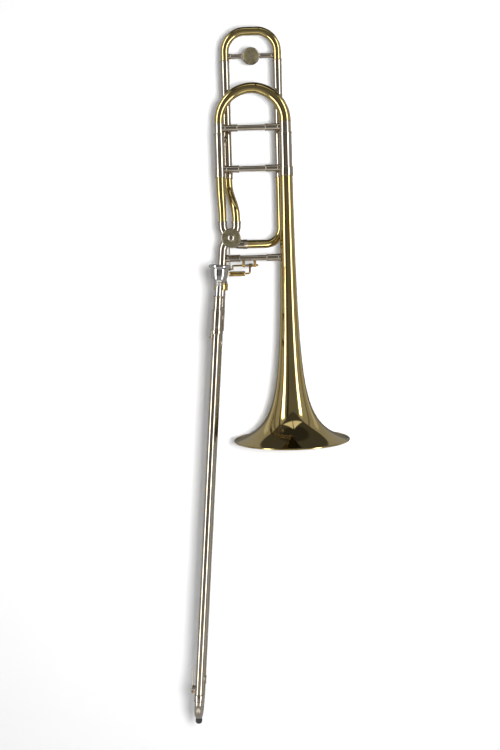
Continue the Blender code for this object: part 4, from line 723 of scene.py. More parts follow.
class TROMBONE_OT_bell(bpy.types.Operator):
    """Make the bell's flare and stem with the wire rolled into its rim"""

    bl_idname = "trombone.bell"
    bl_label = "Bell"

    def execute(self, context):
        rings = 72
        outline = []
        for ring_number in range(rings, -1, -1):
            height = BELL_LENGTH * (ring_number / rings) ** 2.3
            outline.append((bell_radius_at(height), height))
        bell = turned("bell_flare", outline, BELL, steps=144, wall=0.0008)
        settle(bell, "bell_section", "lacquered_brass", "bell")
        middle = BELL_RADIUS - RIM_BEAD
        wire = []
        for side in range(20):
            angle = -2.0 * math.pi * side / 20
            wire.append((middle + RIM_BEAD * math.cos(angle), RIM_BEAD * math.sin(angle)))
        rim = turned("bell_rim", wire, BELL, steps=144)
        settle(rim, "bell_section", "lacquered_brass", "bell_rim_bead")
        return {"FINISHED"}


class TROMBONE_OT_main_sleeves(bpy.types.Operator):
    """Make the two fixed sleeves of the main tuning slide and the gooseneck below the left one"""

    bl_idname = "trombone.main_sleeves"
    bl_label = "Main sleeves and gooseneck"

    def execute(self, context):
        made = sleeve("bell_side_sleeve", BELL, BELL_LEG, SLEEVE_MOUTH, bell_radius_at(BELL_LENGTH))
        settle(made, "bell_section", "nickel_silver", "bell_sleeve")
        made = sleeve("neck_side_sleeve", at(BELL, -LEG_SPACING, 0.0, 0.0), NECK_LEG, SLEEVE_MOUTH, NECK_LEG)
        settle(made, "bell_section", "nickel_silver", "gooseneck_sleeve")
        x, z = VALVE_PLACE[0] + NECK_PORT, VALVE_PLACE[2] + KNUCKLE_REACH
        top = (-LEG_SPACING, 0.0, BELL_LENGTH)
        straight = (-LEG_SPACING, 0.0, BELL_LENGTH - 2.0 * PIPE_INSET)
        low = (x, 0.0, z + PIPE_INSET)
        path = [Vector(top)] + bezier(straight, (-LEG_SPACING, 0.0, z + 0.04), (x, 0.0, z + 0.03), low, 12)
        path += [Vector((x, 0.0, z - 0.0060))]
        radii = [NECK_LEG] + tapered(NECK_LEG, 0.0073, len(path) - 2) + [0.0073]
        made = drawn("gooseneck_pipe", path, radii, BELL, WALL)
        settle(made, "bell_section", "lacquered_brass", "gooseneck")
        return {"FINISHED"}


class TROMBONE_OT_tuning_slide(bpy.types.Operator):
    """Make the main tuning slide: crook, two legs and brace"""

    bl_idname = "trombone.tuning_slide"
    bl_label = "Main tuning slide"

    def execute(self, context):
        half = LEG_SPACING / 2.0
        path = arc((0.0, 0.0, 0.0015), half, math.pi, 0.0, count=64)
        thin = NECK_LEG - 0.0003
        radii = [thin] + tapered(thin, BELL_LEG, len(path)) + [BELL_LEG]
        path = [Vector((-half, 0.0, 0.0))] + path + [Vector((half, 0.0, 0.0))]
        made = drawn("main_crook", path, radii, TUNING, WALL, sides=40)
        settle(made, "main_tuning", "lacquered_brass", "tuning_crook")
        legs = (("tuning_leg_neck_side", -half, NECK_LEG), ("tuning_leg_bell_side", half, BELL_LEG))
        for name, x, leg in legs:
            outline = [(leg, -GAP)] + bead(leg, -0.0012, 0.0002, 4) + [(leg, -0.0790)]
            outline += [(leg - WALL, -0.0790), (leg - WALL, -GAP)]
            made = turned(f"{name}_tube", outline, at(TUNING, x, 0.0, 0.0), steps=48)
            settle(made, "main_tuning", "nickel_silver", name)
        height = -0.0093
        ends = (-half, 0.0, height), (half, 0.0, height)
        made = brace("tuning_slide_brace", *ends, NECK_LEG, BELL_LEG, TUNING)
        settle(made, "main_tuning", "nickel_silver", "tuning_brace")
        return {"FINISHED"}


class TROMBONE_OT_f_slide(bpy.types.Operator):
    """Make the F tuning slide: crook with a flat top, legs, brace and the bare medallion"""

    bl_idname = "trombone.f_slide"
    bl_label = "F tuning slide"

    def execute(self, context):
        corner = 0.03685
        level = 0.0150
        path = [Vector((-F_HALF, 0.0, GAP))]
        path += arc((-F_HALF + corner, 0.0, level), corner, math.pi, math.pi / 2.0, count=28)
        path += arc((F_HALF - corner, 0.0, level), corner, math.pi / 2.0, 0.0, count=28)
        path.append(Vector((F_HALF, 0.0, GAP)))
        made = drawn("f_slide_crook", path, F_TUBE, F_SLIDE, WALL, sides=36)
        settle(made, "f_tuning", "lacquered_brass", "f_crook")
        outline = [(F_LEG, 0.0)] + ring(F_LEG, F_LEG - WALL, 0.0, -0.1250)[1:]
        for name, x in (("f_leg_left", -F_HALF), ("f_leg_right", F_HALF)):
            made = turned(f"{name}_tube", outline, at(F_SLIDE, x, 0.0, 0.0), steps=40, soften=0.0001)
            settle(made, "f_tuning", "nickel_silver", name)
        rise = 0.0075
        left, right = (-F_HALF, 0.0, rise), (F_HALF, 0.0, rise)
        rod_piece = brace("f_brace_rod", left, right, F_TUBE, F_TUBE, F_SLIDE, radius=0.0028)
        settle(rod_piece, "f_tuning", "nickel_silver", "f_slide_brace")
        face, edge, rim = 0.0038, 0.0156, 0.0014
        inner = edge - rim
        front = [
            (0.0, face - 0.0004), (inner - 0.0006, face - 0.0004), (inner - 0.0002, face - 0.0006),
            (inner, face - 0.0004), (inner + 0.0002, face - 0.0002), (inner + 0.0006, face),
            (edge - 0.0003, face - 0.0001), (edge, face - 0.0006),
        ]
        outline = front + [(radius, -height) for radius, height in reversed(front)]
        place = at(F_SLIDE, 0.0, 0.0, rise) @ TURN_TO_FRONT
        made = turned("medallion", outline, place, steps=96)
        settle(made, "f_tuning", "satin_bronze", "f_slide_medallion")
        made.data.materials.append(finish("nickel_silver"))
        for side in made.data.polygons:
            if (place.inverted() @ side.center).xy.length > inner - 0.0003:
                side.material_index = 1
        return {"FINISHED"}


class TROMBONE_OT_f_tubing(bpy.types.Operator):
    """Make the fixed part of the F attachment: sleeves with their stays, the S bend and the return tube"""

    bl_idname = "trombone.f_tubing"
    bl_label = "F tubing"

    def execute(self, context):
        stay_height = SLEEVE_MOUTH - 0.0090
        pairs = (("left", -1.0, -LEG_SPACING, NECK_LEG), ("right", 1.0, 0.0, BELL_LEG))
        for name, side, main_x, main_leg in pairs:
            x = F_CENTRE + side * F_HALF
            tube = sleeve(f"f_sleeve_tube_{name}", at(BELL, x, F_DEPTH, 0.0), F_LEG, F_SLEEVE_MOUTH, F_TUBE)
            ends = (main_x, 0.0, stay_height), (x, F_DEPTH, stay_height)
            stay = brace(f"f_stay_{name}", *ends, main_leg + GAP + WALL, F_LEG, BELL, radius=0.0030)
            made = united(f"f_sleeve_{name}_piece", tube, stay)
            settle(made, "bell_section", "nickel_silver", f"f_sleeve_{name}")
        left, right = F_CENTRE - F_HALF, F_CENTRE + F_HALF
        knuckle_top = VALVE_PLACE[2] + KNUCKLE_REACH
        pipe_end = KNUCKLE - WALL - GAP
        port = VALVE_PLACE[0] + INLET_PORT
        upper = Vector((left, F_DEPTH, SLEEVE_BOTTOM - 0.0040))
        lower = Vector((port, 0.0, knuckle_top + 0.0030))
        handle = Vector((0.0, 0.0, (upper.z - lower.z) * 0.45))
        path = [Vector((left, F_DEPTH, BELL_LENGTH))]
        path += bezier(upper, upper - handle, lower + handle, lower, 40)
        path += [Vector((port, 0.0, knuckle_top - 0.0060))]
        radii = [F_TUBE] * (len(path) - 10) + tapered(F_TUBE, pipe_end, 9) + [pipe_end]
        made = drawn("f_s_bend_pipe", path, radii, BELL, WALL, sides=36)
        settle(made, "bell_section", "lacquered_brass", "f_s_bend")
        mouth = Vector(VALVE_PLACE) + RETURN_PORT
        corner = Vector((right, F_DEPTH, mouth.z))
        way = (mouth - corner).normalized()
        bend = 0.0300
        path = [Vector((right, F_DEPTH, BELL_LENGTH))]
        path += arc(corner + (way + UP) * bend, bend, 0.0, math.pi / 2.0, -way, (0.0, 0.0, -1.0), 28)
        path += [mouth - way * 0.0120, mouth - way * 0.0030, mouth + way * 0.0060]
        radii = [F_TUBE] * (len(path) - 2) + [pipe_end] * 2
        made = drawn("f_return_pipe", path, radii, BELL, WALL, sides=36)
        settle(made, "bell_section", "lacquered_brass", "f_return_tube")
        return {"FINISHED"}


# The rotary valve

CASING_RADIUS = 0.0170
CASING_HALF = 0.0205
STOP_ARM_BACK = 0.0262
STOP_ARM_THICKNESS = 0.0030
STOP_RADIUS = 0.0090
BALL_RADIUS = 0.0022
HALF_TURN = math.radians(45.0)
PIN_X = -STOP_RADIUS * math.cos(HALF_TURN)
PIN_Z = -STOP_RADIUS * math.sin(HALF_TURN)
LINK_DISC_HALF = 0.0012
LINK_BACK = STOP_ARM_BACK + STOP_ARM_THICKNESS + 2.0 * BALL_RADIUS + 0.0030 + LINK_DISC_HALF
FLANGE = CASING_HALF + GAP


def seated(pipe):
    """Cut off the end of a pipe that lies inside the casing's wall."""
    core = rod(CASING_RADIUS - 0.0008, CASING_HALF, -CASING_HALF)
    return cut(pipe, turned("casing_core", core, VALVE @ TURN_TO_BACK, steps=96))


def knuckle(name, path):
    """A short pipe on the valve's casing with a rolled ferrule at its mouth."""
    pipe = seated(drawn(name, path, KNUCKLE, VALVE, WALL, sides=36))
    way = (path[-1] - path[-2]).normalized()
    turn = way.to_track_quat("Z", "Y").to_matrix().to_4x4()
    outer = KNUCKLE + 0.0003
    ferrule = [(KNUCKLE + 0.0001, 0.0)] + bead(outer, -0.0006, 0.0005) + [(outer, -0.0014), (outer, -0.0046)]
    ferrule += bead(outer, -0.0052, 0.0005) + [(KNUCKLE - 0.0001, -0.0058), (KNUCKLE - 0.0001, 0.0)]
    place = at(VALVE, *path[-1]) @ turn
    return united(name, pipe, turned(f"{name}_band", ferrule, place, steps=40))


class TROMBONE_OT_valve(bpy.types.Operator):
    """Make the rotary valve's casing, the pipes that leave it, its cap and its back plate"""

    bl_idname = "trombone.valve"
    bl_label = "Valve"

    def execute(self, context):
        bore = CASING_RADIUS - 0.0015
        side = bead(CASING_RADIUS - 0.0002, CASING_HALF - 0.0008, 0.0007)
        side += bead(CASING_RADIUS - 0.0002, 0.0008 - CASING_HALF, 0.0007)
        outline = side + [(bore, -CASING_HALF), (bore, CASING_HALF)]
        place = VALVE @ TURN_TO_BACK
        made = turned("casing", outline, place, steps=96, soften=SOFT)
        settle(made, "bell_section", "nickel_silver", "valve_casing")

        left, right, top = NECK_PORT, INLET_PORT, KNUCKLE_REACH
        seat, bend = (-0.0070, 0.0, 0.0055), (-0.0120, 0.0, 0.0100)
        path = bezier(seat, bend, (left, 0.0, 0.0155), (left, 0.0, 0.0230))
        path += [Vector((left, 0.0, top))]
        settle(knuckle("knuckle_gooseneck", path), "bell_section", "nickel_silver", "gooseneck_knuckle")
        seat, bend = (0.0040, 0.0, 0.0080), (0.0075, 0.0, 0.0140)
        path = bezier(seat, bend, (right, 0.0, 0.0180), (right, 0.0, 0.0240))
        path += [Vector((right, 0.0, top))]
        settle(knuckle("knuckle_f_inlet", path), "bell_section", "nickel_silver", "f_inlet_knuckle")
        corner = Vector((F_CENTRE + F_HALF - VALVE_PLACE[0], F_DEPTH, RETURN_PORT.z))
        way = (corner - RETURN_PORT).normalized()
        last = RETURN_PORT - way * 0.0070
        path = bezier((0.0020, 0.0, -0.0060), (0.0070, 0.0, RETURN_PORT.z), last - way * 0.0060, last)
        path.append(RETURN_PORT)
        settle(knuckle("knuckle_f_return", path), "bell_section", "nickel_silver", "f_return_knuckle")

        x = -SLIDE_OFFSET
        path = bezier((-0.0065, 0.0, -0.0050), (-0.0115, 0.0, -0.0095), (x, 0.0, -0.0150), (x, 0.0, -0.0240))
        path.append(Vector((x, 0.0, RECEIVER_TOP - 0.0060 - VALVE_TO_SLIDE)))
        made = seated(drawn("neckpipe_tube", path, NECKPIPE, UPRIGHT, WALL, sides=40))
        settle(made, "bell_section", "nickel_silver", "neckpipe")

        inside = bore - GAP
        outline = raised(
            FLANGE, (0.0026, 0.0035), (0.0062, 0.0035), (0.0068, 0.0029), (0.0068, 0.0022), (0.0074, 0.0018),
            (0.0128, 0.0018), (0.0132, 0.0014), (0.0140, 0.0014), (0.0144, 0.0018),
            (CASING_RADIUS - 0.0010, 0.0018), (CASING_RADIUS - GAP, 0.0011), (CASING_RADIUS - GAP, 0.0))
        outline += [(inside, FLANGE), (inside, 0.0173), (0.0026, 0.0173)]
        made = turned("back_plate", outline, place, steps=96)
        settle(made, "bell_section", "nickel_silver", "back_bearing_plate")

        edge = 0.0162
        face = FLANGE + 0.0045
        outline = [
            (0.0, face - 0.0005), (edge - 0.0014, face - 0.0005), (edge - 0.0012, face - 0.0001),
            (edge - 0.0009, face), (edge - 0.0004, face - 0.0001), (edge, face - 0.0006),
            (edge, face - 0.0014), (edge, FLANGE + 0.0010), (edge - 0.0004, FLANGE), (0.0, FLANGE),
        ]
        grooves = (FLANGE + 0.0012, face - 0.0012, 0.00025)
        cap = turned("cap_disc", outline, VALVE @ TURN_TO_FRONT, steps=144, grooves=grooves)
        settle(cap, "cap", "satin_bronze", "valve_cap")
        hub = 0.00675
        base = face - 0.0005 + GAP
        outline = [(0.0, base + 0.0038)]
        for step in range(1, 13):
            angle = math.radians(7.0 * step)
            outline.append(((hub - 0.0006) * math.sin(angle), base + 0.0006 + 0.0032 * math.cos(angle)))
        outline += [(hub - 0.0005, base + 0.0008), (hub, base + 0.0005), (hub, base), (0.0, base)]
        made = turned("cap_hub_dome", outline, VALVE @ TURN_TO_FRONT, steps=64)
        settle(made, "cap", "nickel_silver", "valve_cap_hub")
        return {"FINISHED"}


class TROMBONE_OT_stop_arm(bpy.types.Operator):
    """Make the stop arm with its ball stud, and the two corks on their plate"""

    bl_idname = "trombone.stop_arm"
    bl_label = "Stop arm and corks"

    def execute(self, context):
        place = VALVE @ TURN_TO_BACK
        start, end = STOP_ARM_BACK, STOP_ARM_BACK + STOP_ARM_THICKNESS
        hub = [
            (0.0048, end), (0.0052, end - 0.0004), (0.0052, start + 0.0004), (0.0048, start), (0.0026, start),
        ]
        parts = [turned("stop_hub", hub + [(0.0026, end)], place, steps=48)]
        middle = (start + end) / 2.0
        length = 0.0052
        for sign in (1.0, -1.0):
            reach = (0.0034 + length / 2.0) / STOP_RADIUS * sign
            turn = Matrix.Rotation(-HALF_TURN, 4, "Y")
            spot = at(VALVE, PIN_X * reach, middle, PIN_Z * reach) @ turn
            parts.append(block("stop_bar", (length, STOP_ARM_THICKNESS, 0.0046), spot, 0.0005))
        spot = at(VALVE, PIN_X, 0.0, PIN_Z) @ TURN_TO_BACK
        eye = [
            (0.0, end), (0.0026, end), (0.0029, end - 0.0003), (0.0029, start + 0.0003), (0.0026, start),
            (0.0, start),
        ]
        parts.append(turned("stop_eye", eye, spot, steps=32))
        centre = end + 0.0026 + BALL_RADIUS
        stud = ball(BALL_RADIUS, centre)[:-2] + [(0.0011, centre - 0.0021), (0.0011, end + 0.0006)]
        stud += [(0.0017, end), (0.0, end)]
        parts.append(turned("stop_ball", stud, spot, steps=32))
        settle(united("stop_arm_piece", *parts), "rotor", "gold_plate", "stop_arm")

        screw = [
            (0.0, end + 0.0016), (0.0018, end + 0.0015), (0.0024, end + 0.0010), (0.0024, end + 0.0002),
            (0.0, end + 0.0002),
        ]
        settle(turned("spindle_screw", screw, place, steps=32), "rotor", "nickel_silver")

        base = FLANGE + 0.0018 + GAP
        cork, cork_way = 0.0022, 0.0112
        finger = math.asin(0.0023 / STOP_RADIUS)
        angle = HALF_TURN + finger + math.asin((cork + GAP) / STOP_RADIUS) + math.radians(1.0)
        outline = [(0.0, end), (cork - 0.0003, end), (cork, end - 0.0004), (cork, base), (0.0, base)]
        corks = []
        for side in (1.0, -1.0):
            spot = at(VALVE, cork_way * math.cos(angle), 0.0, side * cork_way * math.sin(angle))
            corks.append(turned("stop_cork", outline, spot @ TURN_TO_BACK, steps=32))
        settle(united("stop_cork_pair", *corks), "bell_section", "cork", "stop_corks")
        path = arc((0.0, base + 0.0010, 0.0), cork_way, -angle - 0.15, angle + 0.15, count=40)
        made = drawn("cork_holder", path, 0.0010, VALVE, sides=12)
        settle(made, "bell_section", "nickel_silver")
        return {"FINISHED"}


# The thumb trigger

TRIGGER_BACK = 0.0100
TRIGGER_DROP = 0.0134
SHAFT = 0.0016
POSTS = (-0.0816, -0.0610)
TRIGGER = at(BELL, 0.0, TRIGGER_BACK, LOWER_BRACE_HEIGHT - TRIGGER_DROP)


class TROMBONE_OT_bell_braces(bpy.types.Operator):
    """Make the two braces of the bell section, with the trigger's posts on the lower one"""

    bl_idname = "trombone.bell_braces"
    bl_label = "Bell braces"

    def execute(self, context):
        height = BELL_LENGTH + 0.00625
        near, far = NECK_LEG + GAP + WALL, BELL_LEG + GAP + WALL
        made = brace("upper_brace_tube", (-LEG_SPACING, 0.0, height), (0.0, 0.0, height), near, far, BELL)
        settle(made, "bell_section", "nickel_silver", "upper_brace")
        drop = VALVE_PLACE[2] - LOWER_BRACE_HEIGHT
        x = VALVE_PLACE[0] - SLIDE_OFFSET / math.cos(BELL_LEAN) - drop * math.tan(BELL_LEAN)
        ends = (x, 0.0, LOWER_BRACE_HEIGHT), (0.0, 0.0, LOWER_BRACE_HEIGHT)
        rod_piece = brace("lower_brace_tube", *ends, NECKPIPE, bell_radius_at(LOWER_BRACE_HEIGHT), BELL)
        reach = math.hypot(TRIGGER_BACK, TRIGGER_DROP)
        lean = Matrix.Rotation(math.atan2(TRIGGER_BACK, TRIGGER_DROP), 4, "X")
        seat = reach - BRACE_RADIUS
        knob = 0.0034
        outline = [
            (0.0, seat + 0.0016), (0.0031, seat + 0.0012), (0.0034, seat - 0.0004), (0.0031, seat - 0.0012),
        ]
        waist = [(0.0028, seat - 0.0018), (0.0024, seat * 0.72), (0.0024, knob * 1.25), (0.0025, knob * 0.92)]
        round_end = (0.75, 1.0, 1.3, 1.57, 1.9, 2.2, 2.5, 2.8)
        outline += smooth(waist, 5) + [(knob * math.sin(a), knob * math.cos(a)) for a in round_end]
        outline += [(0.0, -knob)]
        posts = [turned("trigger_post", outline, at(TRIGGER, x, 0.0, 0.0) @ lean, steps=40) for x in POSTS]
        settle(rod_piece, "bell_section", "nickel_silver", "lower_brace")
        settle(united("trigger_posts", *posts), "bell_section", "gold_plate")
        return {"FINISHED"}


class TROMBONE_OT_trigger(bpy.types.Operator):
    """Make the trigger's shaft and arm, its paddle, its spring and the link rod"""

    bl_idname = "trombone.trigger"
    bl_label = "Thumb trigger"

    def execute(self, context):
        pin_x = VALVE_PLACE[0] + PIN_X
        across = LINK_BACK - TRIGGER_BACK
        low = PIN_Z
        turn_x = pin_x + 0.0060
        start, bend = Vector((POSTS[1] + 0.0044, 0.0, 0.0)), Vector((turn_x + 0.0060, 0.0, 0.0))
        path = [start, bend]
        knee = (turn_x, 0.001, low * 0.1), (turn_x, 0.006, low * 0.25)
        path += bezier(bend, (turn_x + 0.001, 0.0, 0.0), *knee, 12)
        crank = (turn_x, across - 0.0050, low * 0.86), (turn_x, across - 0.0005, low)
        path += bezier(*crank, (turn_x - 0.0002, across, low), (turn_x - 0.0036, across, low), 12)
        path.append(Vector((pin_x - 0.0028, across, low)))
        shaft = drawn("trigger_shaft", path, SHAFT, TRIGGER, sides=20)
        tip = turned("shaft_tip", ball(0.0022, 0.0, 10), at(TRIGGER, *start) @ TURN_TO_RIGHT, steps=24)
        back, drop = -0.0160 - TRIGGER_BACK, -0.0148
        arm_x = -0.0700
        root, bend = (arm_x, 0.0, 0.0), (arm_x, back * 0.45, -0.001)
        knee = (arm_x, back * 0.72, drop * 0.55), (arm_x - 0.0004, back * 0.95, drop * 0.90)
        path = bezier(root, bend, *knee, 20)
        foot = (arm_x - 0.0008, back, drop), (arm_x - 0.003, back, drop), (arm_x - 0.0080, back, drop)
        path += bezier(path[-1], *foot, 12)[1:]
        arm = drawn("trigger_arm", path, tapered(SHAFT * 1.25, SHAFT * 1.05, len(path)), TRIGGER, sides=20)
        spot = at(TRIGGER, *root) @ TURN_TO_RIGHT
        boss = ring(0.0034, 0.0012, 0.0048, -0.0026)
        ring_piece = turned("arm_boss", boss, spot, steps=32, soften=SOFT)
        made = united("trigger_lever_piece", shaft, arm, tip, ring_piece)
        settle(made, "trigger", "gold_plate", "trigger_lever")

        half, radius = 0.0150, 0.0045
        outline = [
            (0.0, half), (radius * 0.55, half - 0.0001), (radius * 0.80, half - 0.0006),
            (radius * 0.95, half - 0.0014), (radius, half - 0.0024), (radius, 0.0), (radius, 0.0024 - half),
            (radius * 0.95, 0.0014 - half), (radius * 0.80, 0.0006 - half), (radius * 0.55, 0.0001 - half),
            (0.0, -half),
        ]
        centre = (arm_x - 0.0080 - half - GAP, back, drop)
        made = turned("thumb_paddle", outline, at(TRIGGER, *centre) @ TURN_TO_RIGHT, steps=40)
        settle(made, "trigger", "gold_plate", "trigger_paddle")

        wire = 0.0005
        coil_radius = SHAFT + wire + GAP
        begin, turns = POSTS[0] + 0.0034 + 2.0 * wire, 3
        path = coil(coil_radius, turns, begin, begin + 3.0 * wire * turns)
        made = drawn("trigger_coil", path, wire, TRIGGER, sides=12)
        settle(made, "bell_section", "spring_steel", "trigger_spring")

        top, eye_z = VALVE_PLACE[2] + PIN_Z, LOWER_BRACE_HEIGHT - TRIGGER_DROP + low
        disc = [
            (0.0, LINK_DISC_HALF), (0.0036, LINK_DISC_HALF), (0.0042, 0.0007), (0.0042, -0.0007),
            (0.0036, -LINK_DISC_HALF), (0.0, -LINK_DISC_HALF),
        ]
        parts = [turned("link_disc", disc, at(BELL, pin_x, LINK_BACK, top) @ TURN_TO_BACK, steps=40)]
        stem_top, stem_low = top - 0.0020, eye_z + 0.0026
        stem = [
            (0.0, stem_top), (0.0022, stem_top), (0.0022, stem_top - 0.0050), (0.0015, stem_top - 0.0062),
            (0.0015, stem_low + 0.0050), (0.0022, stem_low + 0.0040), (0.0022, stem_low), (0.0, stem_low),
        ]
        parts.append(turned("link_rod", stem, at(BELL, pin_x, LINK_BACK, 0.0), steps=24))
        eye = ring(0.0032, SHAFT + 0.0001, 0.0016, -0.0016)
        spot = at(BELL, pin_x, LINK_BACK, eye_z) @ TURN_TO_RIGHT
        parts.append(turned("link_eye", eye, spot, steps=32, soften=0.0003))
        settle(united("link_piece", *parts), "link", "nickel_silver", "trigger_link")
        return {"FINISHED"}


# The hand slide, measured from the lower end of the cork barrels

BARREL_LENGTH = 0.0440
BARREL = 0.0093
INNER_TUBE = 0.00715
INNER_BORE = 0.0068
OUTER_TUBE = 0.0077
OUTER_BORE = 0.00745
OUTER_TOP = 0.0285
INNER_BOTTOM = BARREL_LENGTH - 0.7030
OUTER_BOTTOM = INNER_BOTTOM - 0.0120
SIDES = {"lower": SLIDE, "upper": UPPER}
MOUTH = at(UPPER, 0.0, 0.0, BARREL_LENGTH + 0.0235)
LOCK_PIN = -0.0065
KEY_OUT = 0.0127
KEY_HEIGHT = OUTER_BOTTOM + 0.0190
KEY_CORK = 0.0085  # how far the water key's hole lies below its pin
KEY = at(UPPER, -KEY_OUT, 0.0, KEY_HEIGHT)


class TROMBONE_OT_receiver(bpy.types.Operator):
    """Make the slide receiver, the tenon that seats in it and the knurled lock nut"""

    bl_idname = "trombone.receiver"
    bl_label = "Receiver and lock nut"

    def execute(self, context):
        bottom, top = TENON_FLANGE_TOP + GAP, RECEIVER_TOP
        bore, pipe_bore = TENON + GAP, NECKPIPE + GAP
        thread_top = TENON_FLANGE + 0.0130 - 0.0018 + 0.0010
        outer = bore + 0.0010
        outline = [(outer - 0.0004, top), (outer, top - 0.0004)] + bead(outer, top - 0.0018, 0.0005)
        outline += [(outer, thread_top + 0.0038)] + bead(outer + 0.0004, thread_top + 0.0026, 0.0008)
        outline += [
            (0.0118, thread_top + 0.0012), (0.0118, thread_top), (0.0110, thread_top), (0.0110, bottom),
            (bore, bottom), (bore, top - 0.0066), (pipe_bore, top - 0.0066), (pipe_bore, top),
        ]
        made = turned("receiver_socket", outline, SLIDE, steps=64)
        settle(made, "bell_section", "nickel_silver", "slide_receiver")

        flange, low = TENON_FLANGE, BARREL_LENGTH + GAP
        outline = [
            (TENON - GAP, TENON_TOP), (TENON, TENON_FLANGE_TOP), (0.0110, TENON_FLANGE_TOP), (0.0110, flange),
        ]
        outline += [(0.0090, flange)] + bead(0.0090, low + 0.0062, 0.0005)
        outline += [(0.0092, low + 0.0050), (0.0092, low + 0.0016)] + bead(0.0090, low + 0.0010, 0.0006)
        outline += [(0.0088, low), (INNER_TUBE + GAP, low), (INNER_TUBE + GAP, TENON_TOP)]
        made = turned("tenon", outline, SLIDE, steps=64)
        settle(made, "inner_slide", "nickel_silver", "slide_tenon")

        top, low, lip, edge = flange + 0.0112, flange - GAP - 0.0018, 0.0090 + GAP, 0.0126
        outline = [(0.0120, top), (edge, top - 0.0005)] + bead(edge, top - 0.0012, 0.00055)
        outline += [(0.0130, top - 0.0022), (0.01325, top - 0.0027), (0.01325, top - 0.0060)]
        outline += [(0.01325, low + 0.0027), (0.0130, low + 0.0022)] + bead(edge, low + 0.0012, 0.00055)
        outline += [
            (edge, low + 0.0005), (0.0118, low), (lip, low), (lip, low + 0.0018), (0.0113, low + 0.0018),
            (0.0113, top),
        ]
        grooves = (low + 0.0027, top - 0.0027, 0.00035)
        made = turned("lock_nut_ring", outline, SLIDE, steps=120, grooves=grooves)
        settle(made, "lock_nut", "gold_plate", "bell_lock_nut")
        return {"FINISHED"}


class TROMBONE_OT_inner_slide(bpy.types.Operator):
    """Make the inner tubes with their stockings, the cork barrels, the grip brace, the mouthpiece receiver"""

    bl_idname = "trombone.inner_slide"
    bl_label = "Inner slide"

    def execute(self, context):
        tops = {"lower": TENON_TOP - GAP, "upper": BARREL_LENGTH}
        stocking = INNER_BOTTOM + 0.0950
        for side, place in SIDES.items():
            outline = [
                (INNER_TUBE, tops[side]), (INNER_TUBE, stocking + 0.0020), (0.0073, stocking),
                (0.0073, INNER_BOTTOM), (INNER_BORE, INNER_BOTTOM), (INNER_BORE, tops[side]),
            ]
            made = turned(f"inner_slide_tube_{side}", outline, place, steps=40)
            settle(made, "inner_slide", "nickel_silver", f"inner_tube_{side}")
            bore, hole, top = BARREL - 0.0007, INNER_TUBE + GAP, BARREL_LENGTH
            outline = [(BARREL - 0.0011, top), (BARREL - 0.0005, top - 0.0003)]
            outline += [(BARREL - 0.0003, top - 0.0010)] + bead(BARREL - 0.0002, top - 0.0020, 0.0005)
            outline += [(BARREL, top - 0.0030), (BARREL, 0.0105)] + bead(BARREL - 0.0001, 0.0098, 0.0004)
            outline += [
                (BARREL, 0.0090), (BARREL, 0.0), (bore, 0.0), (bore, top - 0.0035), (hole, top - 0.0035),
                (hole, top),
            ]
            made = turned(f"barrel_{side}", outline, place, steps=56)
            settle(made, "inner_slide", "nickel_silver", f"cork_barrel_{side}")
        height = 0.0260
        ends = (0.0, 0.0, height), (0.0, -SLIDE_SPACING, height)
        made = brace("grip_brace_tube", *ends, BARREL, BARREL, SLIDE, radius=0.0052)
        settle(made, "inner_slide", "nickel_silver", "grip_brace")
        outer = 0.0077
        outline = [(0.0070, 0.0)] + bead(outer, -0.0010, 0.0008)
        outline += [(outer + 0.0004, -0.0020), (outer + 0.0004, -0.0040), (outer, -0.0045), (outer, -0.0210)]
        outline += bead(outer, -0.0217, 0.0006) + [(outer, -0.0232), (INNER_BORE, -0.0232), (0.0062, -0.0220)]
        outline += [(0.0066 + GAP, -0.0005), (0.0067 + GAP, 0.0)]
        made = turned("mouthpiece_socket", outline, MOUTH, steps=56)
        settle(made, "inner_slide", "nickel_silver", "mouthpiece_receiver")
        return {"FINISHED"}


class TROMBONE_OT_mouthpiece(bpy.types.Operator):
    """Make the mouthpiece: rounded rim, cup, throat, backbore and tapered shank"""

    bl_idname = "trombone.mouthpiece"
    bl_label = "Mouthpiece"

    def execute(self, context):
        end = -0.0220
        rim = end + 0.0765
        floor = rim - 0.0240
        outside = raised(
            rim, (0.0160, 0.0), (0.0178, -0.0006), (0.0189, -0.0018), (0.0192, -0.0034), (0.0188, -0.0049),
            (0.0176, -0.0060), (0.0164, -0.0068), (0.0158, -0.0080), (0.0156, -0.0110), (0.0150, -0.0155),
            (0.0143, -0.0205), (0.0131, -0.0250), (0.0111, -0.0290), (0.0090, -0.0316), (0.0077, -0.0334))
        shank = raised(rim, (0.0077, -0.0340), (0.0080, -0.0345), (0.0077, -0.0352), (0.0068, -0.0362))
        shank += [(0.0065, rim - 0.0385), (0.0065, 0.0), (0.0059, end), (0.0047, end)]
        shank += [(0.0033, floor - 0.0080), (0.0033, floor)]
        inside = raised(
            floor, (0.0034, 0.0003), (0.0048, 0.0026), (0.0079, 0.0070), (0.0105, 0.0118), (0.0120, 0.0165),
            (0.0127, 0.0210), (0.0131, 0.0225))
        inside.append((0.0140, rim - 0.0004))
        outline = smooth(outside, 4) + shank + smooth(inside, 4)
        made = turned("mouthpiece_shell", outline, MOUTH, steps=96)
        settle(made, "mouthpiece_piece", "silver_plate", "mouthpiece")
        return {"FINISHED"}


